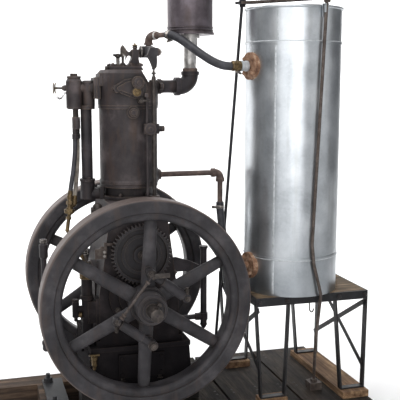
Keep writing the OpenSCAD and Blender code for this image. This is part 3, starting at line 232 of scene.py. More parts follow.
def rust(name, deep, mid, bright, blotch, dull=0.62, depth=0.4 * MM, metallic=0.15, paint=None):
    """Iron under a thin film of rust: matt, blotched from dark brown to orange."""
    t, place = blank(name)
    patch = node(t, "ShaderNodeTexNoise", Vector=place, Scale=1 / blotch, Detail=6.0, Roughness=0.65)
    fine = node(t, "ShaderNodeTexNoise", Vector=place, Scale=1 / (2 * MM), Detail=4.0, Roughness=0.7)
    colour = node(t, "ShaderNodeValToRGB", Fac=patch, stops=((0.30, deep), (0.5, mid), (0.72, bright)))
    colour = tinted(t, colour, deep, fine, 0.4, 0.75, 0.5)
    colour = rubbed(t, colour, bright, 2 * MM, 0.35)
    if paint:
        # paint that is left on whatever stands behind the tank's axis
        depthwise = node(t, "ShaderNodeSeparateXYZ", out=1, Vector=place)
        behind = node(t, "ShaderNodeMath", operation="GREATER_THAN", _0=depthwise, _1=TANK.y + 60 * MM)
        kept = node(t, "ShaderNodeMapRange", Value=fine, From_Min=0.62, From_Max=0.7, To_Min=0.92, To_Max=0.3)
        kept = node(t, "ShaderNodeMath", operation="MULTIPLY", _0=behind, _1=kept)
        colour = node(t, "ShaderNodeMix", out=2, data_type="RGBA", _0=kept, _6=colour, _7=paint)
    surfaced(t, colour, patch, dull, 0.26, fine, depth, Metallic=metallic)


def rusty_pipe():
    """Half-inch iron water pipe and elbows: reddish brown rust over grey iron."""
    rust("rusty_pipe", "#3d3230", "#5f504a", "#8a766c", 26 * MM)


def rusty_flange():
    """Cast floor flanges on the tank: orange-brown rust from weeping joints."""
    rust("rusty_flange", "#57392b", "#947056", "#cfb69f", 18 * MM)


def rusty_rod():
    """Rolled mild steel rod and strap: brown-grey surface rust, smooth from handling."""
    rust("rusty_rod", "#352b28", "#574c46", "#776e68", 22 * MM, dull=0.45, depth=0.15 * MM, metallic=0.35,
         paint="#26272c")


def metal(name, deep, mid, bright, rub, blotch, dull, metallic):
    """Bare metal with tarnish in blotches and rubbed edges."""
    t, place = blank(name)
    patch = node(t, "ShaderNodeTexNoise", Vector=place, Scale=1 / blotch, Detail=5.0, Roughness=0.6)
    fine = node(t, "ShaderNodeTexNoise", Vector=place, Scale=1 / (1.2 * MM), Detail=3.0, Roughness=0.6)
    colour = node(t, "ShaderNodeValToRGB", Fac=patch, stops=((0.30, deep), (0.52, mid), (0.74, bright)))
    colour = rubbed(t, colour, rub, 1.5 * MM, 0.6)
    surfaced(t, colour, patch, dull, 0.18, fine, 0.08 * MM, Metallic=metallic)


def worn_steel():
    """Turned steel, oxidised brown-grey with brighter rubbed faces."""
    metal("worn_steel", "#282523", "#3f3936", "#625953", "#93877c", 20 * MM, 0.38, 0.45)


def bright_steel():
    """Rubbed steel nuts, studs and springs: nearly clean, satin."""
    metal("bright_steel", "#625c58", "#8f8984", "#bbb6b0", "#dcd7d2", 8 * MM, 0.25, 0.85)


def brass():
    """Cast and turned brass: brown tarnish with yellow where tools have rubbed."""
    metal("brass", "#3f3326", "#66553c", "#8f7b57", "#bda97c", 12 * MM, 0.34, 0.75)


def aluminium_paint():
    """Silver-painted pipe: bright, slightly streaked, greyer where heat has dulled it."""
    metal("aluminium_paint", "#8f8b87", "#c2bfbc", "#e6e4e2", "#efeeed", 25 * MM, 0.32, 0.6)


def solder():
    """Dull solder run along the tank's seams."""
    metal("solder", "#a9aeb1", "#c3c7ca", "#d9dcde", "#e6e8e9", 14 * MM, 0.4, 0.5)


def galvanised_sheet():
    """Hot-dip galvanised sheet: grey-blue zinc with soft spangles, dull blotches and water marks."""
    t, place = blank("galvanised_sheet")
    spangle = node(t, "ShaderNodeTexVoronoi", out=1, Vector=place, Scale=1 / (9 * MM))
    tint = node(t, "ShaderNodeSeparateColor", Color=spangle)
    cloud = node(t, "ShaderNodeTexNoise", Vector=place, Scale=1 / (120 * MM), Detail=2.5, Roughness=0.5)
    drawn = node(t, "ShaderNodeMapping", Vector=place, Scale=(1.0, 1.0, 0.08))
    drip = node(t, "ShaderNodeTexNoise", Vector=drawn, Scale=1 / (40 * MM), Detail=4.0, Roughness=0.6)
    speck = node(t, "ShaderNodeTexNoise", Vector=place, Scale=1 / (5 * MM), Detail=4.0, Roughness=0.7)
    colour = node(t, "ShaderNodeValToRGB", Fac=cloud,
                  stops=((0.3, "#a9aeb2"), (0.5, "#c1c6ca"), (0.72, "#d9dde0")))
    for source, low, high, most, code in (
        (tint, 0.0, 1.0, 0.14, "#eef1f6"),
        (drip, 0.55, 0.75, 0.35, "#98978f"),
        (speck, 0.55, 0.75, 0.3, "#9fa3a4"),
    ):
        colour = tinted(t, colour, code, source, low, high, most)
    # the zinc is darker towards the bottom of the tank
    height = node(t, "ShaderNodeSeparateXYZ", out=2, Vector=place)
    colour = tinted(t, colour, "#7f858b", height, TANK_DARKENS_FROM, TANK_DARKEST_AT, 0.55)
    dull = node(t, "ShaderNodeMapRange", Value=cloud, From_Min=0.3, From_Max=0.7, To_Min=0.28, To_Max=0.37)
    dull = node(t, "ShaderNodeMath", operation="MULTIPLY_ADD", _0=tint, _1=0.02, _2=dull)
    dents = node(t, "ShaderNodeTexNoise", Vector=place, Scale=1 / (60 * MM), Detail=2.0)
    node(t, "ShaderNodeOutputMaterial", Surface=node(
        t, "ShaderNodeBsdfPrincipled", Base_Color=colour, Roughness=dull, Metallic=0.93,
        Normal=node(t, "ShaderNodeBump", Height=dents, Distance=1.2 * MM)))


def timber(name, dark, mid, light, along, ring=9 * MM, dull=0.68, stain="#1f1b18", stains=0.5):
    """Sawn wood: fibres drawn out along the board, darker rings, stains and rubbed corners."""
    t, place = blank(name)
    stretch = [1.0, 1.0, 1.0]
    stretch[along] = 0.06
    drawn = node(t, "ShaderNodeMapping", Vector=place, Scale=stretch)
    fibre = node(t, "ShaderNodeTexNoise", Vector=drawn, Scale=1 / (ring * 0.35), Detail=5.0, Roughness=0.7)
    rings = node(t, "ShaderNodeTexNoise", Vector=drawn, Scale=1 / (ring * 2.4), Detail=3.0, Roughness=0.55)
    blot = node(t, "ShaderNodeTexNoise", Vector=place, Scale=1 / (120 * MM), Detail=4.0, Roughness=0.6)
    colour = node(t, "ShaderNodeValToRGB", Fac=rings, stops=((0.34, dark), (0.5, mid), (0.68, light)))
    for source, low, high, most, code in (
        (fibre, 0.42, 0.62, 0.55, dark),
        (blot, 0.45, 0.68, stains, stain),
    ):
        colour = tinted(t, colour, code, source, low, high, most)
    colour = rubbed(t, colour, light, 3 * MM, 0.3)
    relief = node(t, "ShaderNodeMath", operation="MULTIPLY_ADD", _0=rings, _1=0.8, _2=fibre)
    surfaced(t, colour, fibre, dull, 0.22, relief, 0.9 * MM, Specular_IOR_Level=0.25)


def aged_timber():
    """Sawn sill beams, aged grey-brown with orange where the wood is dry."""
    timber("aged_timber", "#2a211b", "#493a2f", "#705b4a", 0, ring=12 * MM)


def deck_timber():
    """Sawn softwood planks, darkened by oil and weather."""
    timber("deck_timber", "#1d1815", "#2f2823", "#4b4037", 1, ring=11 * MM, stain="#0f0e0d", stains=0.7)


def bearer_timber():
    """Bearer beams soaked black with engine oil."""
    timber("bearer_timber", "#100e0e", "#1a1716", "#2b2724", 0, ring=10 * MM, dull=0.5)


def packing_timber():
    """Sawn softwood packing: reddish, pale on the cut ends."""
    timber("packing_timber", "#553f2e", "#81644b", "#b3936f", 1, ring=8 * MM, stain="#3a2d25", stains=0.4)


def plywood():
    """Softwood plywood: veneers at the edge, stained by drips."""
    timber("plywood", "#4f4233", "#73614c", "#968066", 0, ring=8 * MM, stain="#332b23", stains=0.6)


def hose_rubber(name, dark, mid, light, weave, dull):
    """Moulded rubber with the print of its woven wrapping."""
    t, place = blank(name)
    patch = node(t, "ShaderNodeTexNoise", Vector=place, Scale=1 / (40 * MM), Detail=4.0, Roughness=0.6)
    weft = node(t, "ShaderNodeTexNoise", Vector=place, Scale=1 / weave, Detail=2.0, Roughness=0.5)
    colour = node(t, "ShaderNodeValToRGB", Fac=patch, stops=((0.3, dark), (0.52, mid), (0.75, light)))
    colour = tinted(t, colour, dark, weft, 0.35, 0.65, 0.3)
    surfaced(t, colour, patch, dull, 0.15, weft, 0.2 * MM, Specular_IOR_Level=0.45)


def black_hose():
    """Moulded rubber hose: charcoal with a soft blue-grey sheen."""
    hose_rubber("black_hose", "#242427", "#38383d", "#505057", 1.6 * MM, 0.42)


def grey_hose():
    """Rubber hose under a woven cotton cover: pale grey, matt, the weave drawn 3 mm wide so that it shows."""
    hose_rubber("grey_hose", "#5c564f", "#8d857b", "#b0a79b", 3 * MM, 0.75)


def painted_steel(name, dark, mid, light, chip):
    """Enamel on rolled steel, chipped to brown at the edges."""
    t, place = blank(name)
    patch = node(t, "ShaderNodeTexNoise", Vector=place, Scale=1 / (30 * MM), Detail=5.0, Roughness=0.6)
    fine = node(t, "ShaderNodeTexNoise", Vector=place, Scale=1 / (3 * MM), Detail=5.0, Roughness=0.7)
    colour = node(t, "ShaderNodeValToRGB", Fac=patch, stops=((0.3, dark), (0.55, mid), (0.75, light)))
    flakes = node(t, "ShaderNodeMapRange", Value=fine, From_Min=0.42, From_Max=0.55, To_Max=0.8)
    colour = rubbed(t, colour, chip, 2 * MM, flakes)
    colour = tinted(t, colour, chip, fine, 0.66, 0.72, 0.6)
    surfaced(t, colour, patch, 0.42, 0.18, fine, 0.1 * MM, Specular_IOR_Level=0.3)


def black_painted_steel():
    """Black enamel on rolled steel bar, chipped to brown at the edges."""
    painted_steel("black_painted_steel", "#121214", "#1d1d20", "#2d2d31", "#6b5a50")


def grey_painted_steel():
    """Grey enamel on a flat steel strap, scratched at the edges."""
    painted_steel("grey_painted_steel", "#1d1e20", "#292a2d", "#3c3d41", "#5a5048")


def still_water():
    """Still cooling water, faintly rusty, seen through the tank's open top."""
    t, place = blank("still_water")
    ripple = node(t, "ShaderNodeTexNoise", Vector=place, Scale=1 / (60 * MM), Detail=2.0)
    colour = node(t, "ShaderNodeValToRGB", Fac=ripple, stops=((0.3, "#39372c"), (0.7, "#575341")))
    node(t, "ShaderNodeOutputMaterial", Surface=node(
        t, "ShaderNodeBsdfPrincipled", Base_Color=colour, Roughness=0.06, IOR=1.33,
        Normal=node(t, "ShaderNodeBump", Height=ripple, Distance=0.3 * MM)))


def pale_plaster():
    """Matt pale floor and backdrop."""
    t, place = blank("pale_plaster")
    soft = node(t, "ShaderNodeTexNoise", Vector=place, Scale=1 / 0.8, Detail=2.0)
    colour = node(t, "ShaderNodeValToRGB", Fac=soft, stops=((0.3, "#f1f1f1"), (0.7, "#f8f8f8")))
    node(t, "ShaderNodeOutputMaterial", Surface=node(
        t, "ShaderNodeBsdfPrincipled", Base_Color=colour, Roughness=0.9))


FINISHES = (
    oily_cast_iron, flywheel_iron, black_iron_pipe, sooty_sheet, rusty_pipe, rusty_flange, rusty_rod,
    worn_steel, bright_steel, brass, aluminium_paint, galvanised_sheet, solder, aged_timber, deck_timber,
    bearer_timber, packing_timber, plywood, black_hose, grey_hose, black_painted_steel, grey_painted_steel,
    still_water, pale_plaster,
)


def finish(name):
    """The finished material of that name, made the first time it is asked for."""
    if name not in MADE:
        next(f for f in FINISHES if f.__name__ == name)()
    return MADE[name]


# ------------------------------------------------------------------ modelling
def select_nothing():
    bpy.ops.object.select_all(action="DESELECT")


def turned(steps, sides=24):
    """A turned shape on the Z axis: a disc extruded and resized through (radius, height) steps in mm."""
    select_nothing()
    bpy.ops.mesh.primitive_circle_add(
        vertices=sides, radius=steps[0][0] * MM, fill_type="NGON", location=(0, 0, steps[0][1] * MM)
    )
    shape = bpy.context.object
    bpy.ops.object.mode_set(mode="EDIT")
    for (r0, z0), (r1, z1) in zip(steps, steps[1:]):
        bpy.ops.mesh.extrude_region_move(TRANSFORM_OT_translate={"value": (0, 0, (z1 - z0) * MM)})
        if r1 != r0:
            bpy.ops.transform.resize(value=(r1 / r0, r1 / r0, 1), center_override=(0, 0, z1 * MM))
    bpy.ops.mesh.select_all(action="SELECT")
    bpy.ops.mesh.normals_make_consistent(inside=False)
    bpy.ops.object.mode_set(mode="OBJECT")
    bpy.ops.object.transform_apply(location=True, rotation=True, scale=True)
    return shape


def slab(size, edge, centre=(0, 0, 0)):
    """A block of the size in mm, with its edges rounded."""
    select_nothing()
    bpy.ops.mesh.primitive_cube_add(size=1, location=[c * MM for c in centre], scale=[s * MM for s in size])
    shape = bpy.context.object
    bpy.ops.object.transform_apply(location=True, rotation=True, scale=True)
    bpy.ops.object.mode_set(mode="EDIT")
    bpy.ops.mesh.select_all(action="SELECT")
    bpy.ops.mesh.bevel(offset=edge * MM, segments=2, affect="EDGES")
    bpy.ops.object.mode_set(mode="OBJECT")
    return shape


def wire(points, radius):
    """A round wire in mm, smooth through the points."""
    data = bpy.data.curves.new("wire", "CURVE")
    data.dimensions = "3D"
    data.bevel_depth = radius * MM
    data.bevel_resolution = 3
    data.use_fill_caps = True
    data.resolution_u = 5
    line = data.splines.new("BEZIER").bezier_points
    line.add(len(points) - 1)
    for place, point in zip(line, points):
        place.co = [c * MM for c in point]
        place.handle_left_type = place.handle_right_type = "AUTO"
    shape = bpy.data.objects.new("wire", data)
    bpy.context.collection.objects.link(shape)
    select_nothing()
    shape.select_set(True)
    bpy.context.view_layer.objects.active = shape
    bpy.ops.object.convert(target="MESH")
    return bpy.context.object


def coil(radius, thick, pitch, turns, sides=6):
    """A spring on the Z axis: a wire's end screwed upwards."""
    select_nothing()
    bpy.ops.mesh.primitive_circle_add(
        vertices=sides, radius=thick * MM, location=(radius * MM, 0, 0), rotation=(math.pi / 2, 0, 0)
    )
    shape = bpy.context.object
    bpy.ops.object.transform_apply(location=True, rotation=True, scale=True)
    screw = shape.modifiers.new("coil", "SCREW")
    screw.axis = "Z"
    screw.screw_offset = pitch * MM
    screw.iterations = turns
    screw.steps = screw.render_steps = 16
    bpy.ops.object.modifier_apply(modifier="coil")
    bpy.ops.object.mode_set(mode="EDIT")
    bpy.ops.mesh.select_all(action="DESELECT")
    bpy.ops.mesh.select_non_manifold()
    bpy.ops.mesh.edge_face_add()
    bpy.ops.mesh.select_all(action="SELECT")
    bpy.ops.mesh.normals_make_consistent(inside=False)
    bpy.ops.object.mode_set(mode="OBJECT")
    return shape


def hoop(radius, thick, sides, section=8):
    """A ring of round wire in the XY plane."""
    select_nothing()
    bpy.ops.mesh.primitive_torus_add(
        major_segments=sides, minor_segments=section, major_radius=radius * MM, minor_radius=thick * MM
    )
    return bpy.context.object


def band(radius, thick, wide, sides=40):
    """A flat hoop of strip round the Z axis, centred on the origin."""
    select_nothing()
    bpy.ops.mesh.primitive_cylinder_add(
        vertices=sides, radius=radius * MM, depth=wide * MM, end_fill_type="NOTHING"
    )
    shape = bpy.context.object
    wall = shape.modifiers.new("wall", "SOLIDIFY")
    wall.thickness = thick * MM
    wall.offset = 1.0
    bpy.ops.object.modifier_apply(modifier="wall")
    return shape


def placed(shape, point, along=Z, turn=0.0, size=1.0):
    """Stand a shape on a point in metres, its Z axis along a direction; the turn is in degrees."""
    shape.matrix_world = (
        Matrix.Translation(point)
        @ Vector(along).to_track_quat("Z", "Y").to_matrix().to_4x4()
        @ Matrix.Rotation(math.radians(turn), 4, "Z")
        @ Matrix.Scale(size, 4)
    )
    return shape


def joined(*shapes):
    """Join shapes into one, with its place in its mesh."""
    select_nothing()
    for shape in shapes:
        shape.select_set(True)
    bpy.context.view_layer.objects.active = shapes[0]
    if len(shapes) > 1:
        bpy.ops.object.join()
    bpy.ops.object.transform_apply(location=True, rotation=True, scale=True)
    return bpy.context.object


def copied(shape, places):
    """A copy of the shape, with its own mesh, at each place; the first shape is used up."""
    twins = []
    for place in places:
        twin = shape.copy()
        twin.data = shape.data.copy()
        bpy.context.collection.objects.link(twin)
        twins.append(placed(twin, *place))
    bpy.data.objects.remove(shape)
    return joined(*twins)


def piece(name, material, shape, body=ENGINE):
    """Name a finished shape and give it its material and the body it rides on."""
    select_nothing()
    shape.select_set(True)
    bpy.context.view_layer.objects.active = shape
    bpy.ops.object.shade_smooth_by_angle(angle=math.radians(34))
    shape.name = name
    shape.data.materials.clear()
    shape.data.materials.append(finish(material))
    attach(shape, body)
    return shape


def fitted(name, material, shape, *place, body=ENGINE):
    """A piece made of one shape, stood in its place."""
    return piece(name, material, joined(placed(shape, *place)), body)


def nut(across, tall, stud=None, proud=4.0, washer=None):
    """A hexagon nut with chamfered corners, the end of its stud and its washer, standing on the origin."""
    r = across / math.sqrt(3)
    foot = 1.6 if washer else 0.0
    shapes = [turned(((0.9 * r, foot), (r, foot + 0.14 * tall), (r, foot + 0.84 * tall),
                      (0.86 * r, foot + tall)), 6)]
    if stud:
        top = foot + tall + proud
        shapes.append(turned(((stud, foot), (stud, top - 1), (0.75 * stud, top)), 12))
    if washer:
        shapes.append(turned(((washer, 0), (washer, 1.2), (washer - 0.5, 1.6)), 20))
    return joined(*shapes)


def thread(radius, long, pitch, sides=24):
    """A screwed length on the Z axis: ridges a pitch apart."""
    steps = []
    for k in range(int(long / pitch)):
        steps += [(radius - 0.35 * pitch, k * pitch), (radius, (k + 0.5) * pitch)]
    return turned(steps + [(radius - 0.35 * pitch, int(long / pitch) * pitch)], sides)


def around(centre, axis, radius, angles):
    """Places on a circle about an axis, facing along it; the radius is in mm."""
    axis = Vector(axis)
    side = axis.cross(Z if abs(axis.z) < 0.9 else Y).normalized()
    other = axis.cross(side)
    frame_of_ring = Matrix((side, other, axis)).transposed()
    return [(centre + frame_of_ring @ level(a) * radius * MM, axis, a) for a in angles]


# ------------------------------------------------------------------ settings
class EngineSettings(bpy.types.PropertyGroup):
    """Sizes and colours that a user would change."""

    camera_lens: bpy.props.FloatProperty(
        name="Camera lens", description="Focal length of the camera", default=71.294, unit="CAMERA"
    )
    hose_diameter: bpy.props.FloatProperty(
        name="Water hose", description="Outside diameter of the two water hoses", default=31 * MM,
        unit="LENGTH"
    )
    fuel_diameter: bpy.props.FloatProperty(
        name="Fuel hose", description="Outside diameter of the fuel hose", default=17 * MM, unit="LENGTH"
    )
    nut_across: bpy.props.FloatProperty(
        name="Case nuts", description="Size across the flats of the crankcase nuts", default=17 * MM,
        unit="LENGTH"
    )
    water_depth: bpy.props.FloatProperty(
        name="Water level", description="How far the water stands below the tank's rim", default=62 * MM,
        unit="LENGTH"
    )
    studio_tint: bpy.props.FloatVectorProperty(
        name="Studio tint", description="Colour of the light from all round", default=(0.91, 0.92, 0.96),
        subtype="COLOR", min=0.0, max=1.0
    )


# The hoses' points, in metres, as in part.scad. A script resampled them evenly from waypoints, so they aren't
# the round numbers chosen by hand that a route should have. A mend starts in part.scad.
ROUTES = {
    "upper_hose": (
        (0.1425, -0.043, 1.4989), (0.153, -0.0626, 1.4966), (0.1664, -0.0807, 1.4894),
        (0.1786, -0.0978, 1.4806), (0.1907, -0.1138, 1.4696), (0.2031, -0.129, 1.458),
        (0.216, -0.1435, 1.4459), (0.2295, -0.1574, 1.4338), (0.2437, -0.1704, 1.4215),
        (0.2589, -0.1825, 1.4094), (0.2754, -0.1937, 1.3983), (0.2936, -0.2037, 1.3889),
        (0.3139, -0.2118, 1.3823), (0.3359, -0.2173, 1.3796), (0.3586, -0.2193, 1.3799),
        (0.3813, -0.2171, 1.381),
    ),
    "lower_hose": (
        (0.368, 0.0, 0.85), (0.3686, -0.0011, 0.8186), (0.3707, -0.0053, 0.7876), (0.373, -0.0101, 0.7567),
        (0.3754, -0.0153, 0.7258), (0.3772, -0.021, 0.695), (0.3784, -0.0267, 0.6641),
        (0.379, -0.0336, 0.6335), (0.3787, -0.043, 0.6035), (0.3777, -0.0547, 0.5744),
        (0.3762, -0.07, 0.5471), (0.3739, -0.0896, 0.5228), (0.3712, -0.1149, 0.5047),
        (0.3699, -0.1455, 0.5051), (0.3714, -0.1712, 0.5198), (0.3744, -0.1879, 0.5385),
        (0.3779, -0.2023, 0.5575), (0.3806, -0.2126, 0.5776), (0.3817, -0.2165, 0.5895),
        (0.3818, -0.2169, 0.5997),
    ),
    "fuel_hose": (
        (-0.204, -0.009, 1.15), (-0.2041, -0.0092, 1.132), (-0.2048, -0.0105, 1.1141),
        (-0.2056, -0.0128, 1.0962), (-0.2065, -0.0152, 1.0784), (-0.2079, -0.0179, 1.0607),
        (-0.2099, -0.0206, 1.043), (-0.2122, -0.0235, 1.0253), (-0.2148, -0.0265, 1.0078),
        (-0.2177, -0.03, 0.9904), (-0.2211, -0.0341, 0.9731), (-0.2247, -0.0385, 0.9561),
        (-0.2282, -0.0432, 0.939), (-0.2314, -0.0476, 0.922), (-0.2332, -0.0504, 0.905),
    ),
    "return_hose": (
        (-0.193, 0.009, 1.15), (-0.193, 0.0089, 1.1305), (-0.193, 0.0081, 1.1111), (-0.1931, 0.0065, 1.0917),
        (-0.1935, 0.0046, 1.0723), (-0.1944, 0.002, 1.0531), (-0.1958, -0.0012, 1.0339),
        (-0.1974, -0.0048, 1.0149), (-0.1995, -0.009, 0.996), (-0.202, -0.014, 0.9773),
        (-0.2048, -0.0196, 0.9589), (-0.2077, -0.0254, 0.9406), (-0.2107, -0.0315, 0.9223),
        (-0.2139, -0.0377, 0.9042), (-0.217, -0.044, 0.886),
    ),
}


def end_of(route, share, last):
    """A point near one end of a route, and the direction the hose leaves that end in."""
    points = [Vector(p) for p in ROUTES[route]]
    if last:
        points.reverse()
    return points[0].lerp(points[1], share), (points[1] - points[0]).normalized()


# ------------------------------------------------------------------ operators
class Step:
    bl_options = {"REGISTER", "UNDO"}


class ENGINE_OT_camera(Step, bpy.types.Operator):
    """Place the camera at the viewing angle"""

    bl_idname = "engine.camera"
    bl_label = "Camera"

    def execute(self, context):
        data = bpy.data.cameras.new("camera")
        data.lens = context.scene.engine_settings.camera_lens
        data.sensor_width = 36.0
        data.clip_start = 0.05
        camera = bpy.data.objects.new("camera", data)
        context.scene.collection.objects.link(camera)
        right = Vector((0.95905, -0.28326, 0.0))
        upward = Vector((0.041506, 0.14053, 0.98921))
        camera.matrix_world = Matrix((right, upward, right.cross(upward))).transposed().to_4x4()
        camera.location = (-0.59589, -2.98249, 1.32088)
        context.scene.camera = camera
        return {"FINISHED"}


class ENGINE_OT_hoses(Step, bpy.types.Operator):
    """Lay the two water hoses and the two fuel lines along their routes"""

    bl_idname = "engine.hoses"
    bl_label = "Hoses"

    def execute(self, context):
        sizes = context.scene.engine_settings
        for name, diameter, material, stiffness in (
            ("upper_hose", sizes.hose_diameter, "black_hose", "stiff"),
            ("lower_hose", sizes.hose_diameter, "black_hose", "stiff"),
            ("fuel_hose", sizes.fuel_diameter, "black_hose", "medium"),
            ("return_hose", sizes.fuel_diameter - 1 * MM, "grey_hose", "medium"),
        ):
            route = ROUTES[name]
            data = bpy.data.curves.new(name, "CURVE")
            data.dimensions = "3D"
            data.bevel_depth = diameter / 2
            data.bevel_resolution = 6
            data.use_fill_caps = True
            data.resolution_u = 6
            spline = data.splines.new("BEZIER")
            spline.bezier_points.add(len(route) - 1)
            for place, point in zip(spline.bezier_points, route):
                place.co = point
                place.handle_left_type = place.handle_right_type = "AUTO"
            hose = bpy.data.objects.new(name + "_rubber", data)
            context.collection.objects.link(hose)
            data.materials.append(finish(material))
            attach(hose, ENGINE)
            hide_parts(name)
        return {"FINISHED"}


class ENGINE_OT_finishes(Step, bpy.types.Operator):
    """Give every carried-over part its material"""

    bl_idname = "engine.finishes"
    bl_label = "Finishes"

    def execute(self, context):
        for part in frame["record"]["subparts"]:
            obj = frame["nodes"][part["node"]]
            obj.data.materials.clear()
            obj.data.materials.append(finish(part["material_slot"]))
        return {"FINISHED"}


class ENGINE_OT_hose_clamps(Step, bpy.types.Operator):
    """Screw a worm-drive clamp round each end of the water hoses and a ferrule round the fuel lines"""

    bl_idname = "engine.hose_clamps"
    bl_label = "Hose clamps"

    def execute(self, context):
        r = context.scene.engine_settings.hose_diameter / MM / 2
        slots = [slab((2.2, 0.5, 9), 0.1, ((r + 1.6) * math.sin(a), (r + 1.6) * math.cos(a), 0))
                 for a in [math.radians(d) for d in (24, 34, 44)]]
        clamp = joined(
            band(r + 0.2, 1.1, 12.5),
            slab((19, 9, 13), 1.6, (0, r + 4.5, 0)),
            placed(turned(((3.4, 0), (4.6, 1.2), (4.6, 6), (3.2, 6.6), (3.2, 29), (2.4, 31)), 12),
                   Vector((16, r + 5.5, 0)) * MM, -X),
            slab((3, 1.2, 9.5), 0.3, (17, r + 5.5, 0)),
            slab((26, 1.1, 12), 0.4, (-17, r + 1.9, 0)),
            *slots,
        )
        places = [(*end_of(hose, 0.62, last), turn) for hose, last, turn in (
            ("upper_hose", False, 200), ("upper_hose", True, 150), ("lower_hose", False, 60),
            ("lower_hose", True, 20))]
        piece("hose_clamps", "bright_steel", copied(clamp, places))
        ferrule = turned(((8.9, -1), (9.6, 0), (9.9, 3), (9.4, 4.5), (9.9, 6), (9.9, 12), (9.4, 13.5),
                          (9.9, 15), (9.4, 18), (8.7, 19)), 24)
        collar = turned(((9, -1), (10.2, 0), (10.2, 3), (9.4, 4), (10.2, 5), (10.2, 8), (9.4, 9), (10.2, 10),
                         (10.2, 13), (9.4, 14), (9.4, 19), (11.4, 20), (11.4, 38), (8.7, 40)), 24)
        for name, material, shape, last in (("fuel_collars", "black_iron_pipe", collar, False),
                                            ("fuel_ferrules", "brass", ferrule, True)):
            places = [(*end_of("fuel_hose", 0.0, last), 0, 1.0), (*end_of("return_hose", 0.0, last), 0, 0.95)]
            piece(name, material, copied(shape, places))
        return {"FINISHED"}


class ENGINE_OT_case_nuts(Step, bpy.types.Operator):
    """Bolt down the bearing plates, the doors and the flanges of the castings"""

    bl_idname = "engine.case_nuts"
    bl_label = "Case nuts"

    def execute(self, context):
        across = context.scene.engine_settings.nut_across / MM
        sixths = [30 + 60 * k for k in range(6)]
        front = on("bearing_plates", (0.5, 0, 0.5), (0, 13, 0))
        back = on("bearing_plates", (0.5, 1, 0.5), (0, -13, 0))
        places = around(front, -Y, 98, sixths) + around(back, Y, 98, sixths)
        for side, x in ((-X, on("crankcase", (0, 0, 0)).x + 9 * MM),
                        (X, on("crankcase", (1, 0, 0)).x - 9 * MM)):
            door = Vector((x, SHAFT.y, SHAFT.z + 10 * MM))
            places += around(door, side, 84, sixths)
        piece("case_nuts", "worn_steel", copied(nut(across, 9, 5, 5, 11), places))
        # cylinder collar and case foot
        collar = Vector((SHAFT.x, SHAFT.y, on("cylinder", (0, 0, 0)).z - 31 * MM))
        foot = on("sub_base", (0.5, 0.5, 1), (0, 0, 20))
        foot.x, foot.y = SHAFT.x, SHAFT.y
        places = around(collar, Z, 100.5, (0, 60, 120, 180, 240, 300))
        places += [(foot + Vector((sx * 157, y, 0)) * MM, Z, 15) for sx in (-1, 1)
                   for y in (-152, -95, 95, 152)]
        piece("flange_nuts", "oily_cast_iron", copied(nut(13, 9, 4, 4), places))
        # door on the sub-base
        door = on("sub_base", (0.5, 0, 0.5), (0, 0, 0))
        places = [(Vector((sx * 74, 0, dz)) * MM + Vector((SHAFT.x, door.y, door.z + 4.5 * MM)), -Y, 10)
                  for sx in (-1, 0, 1) for dz in (-30, 30)]
        piece("door_bolts", "oily_cast_iron", copied(nut(12, 6), places))
        # holding-down bolts
        places = [(on("sub_base", (0.5, 0.5, 0), (sx * 182 - SHAFT.x / MM + 1, sy * 132 + 3, 28)), Z, 12 * sx)
                  for sx in (-1, 1) for sy in (-1, 1)]
        piece("holding_nuts", "rusty_rod", copied(nut(22, 12, 6.5, 12, 16), places))
        return {"FINISHED"}


class ENGINE_OT_pipe_threads(Step, bpy.types.Operator):
    """Cut the visible threads on the pipes and nipples"""

    bl_idname = "engine.pipe_threads"
    bl_label = "Pipe threads"

    def execute(self, context):
        exhaust = on("exhaust_pipe", (0, 0.5, 0.5))
        elbow = on("exhaust_pipe", (1, 0.5, 0.5))
        riser = on("exhaust_riser", (0.5, 0.5, 0))
        bowl = on("fuel_hose", (0, 0, 1))
        nipple = Vector((bowl.x + 42 * MM, 0, bowl.z + 42 * MM))
        shapes = [
            placed(thread(24.9, 14, 2.2, 40), elbow - X * 15 * MM, X),
            placed(thread(24.9, 10, 2.2, 40), exhaust + X * 0.4 * MM, X),
        ]
        piece("exhaust_threads", "black_iron_pipe", joined(*shapes))
        fitted("riser_thread", "aluminium_paint", thread(24.9, 18, 2.3, 40), riser + Z * 13 * MM)
        fitted("mixer_thread", "worn_steel", thread(11.6, 29, 3.2), nipple)
        return {"FINISHED"}


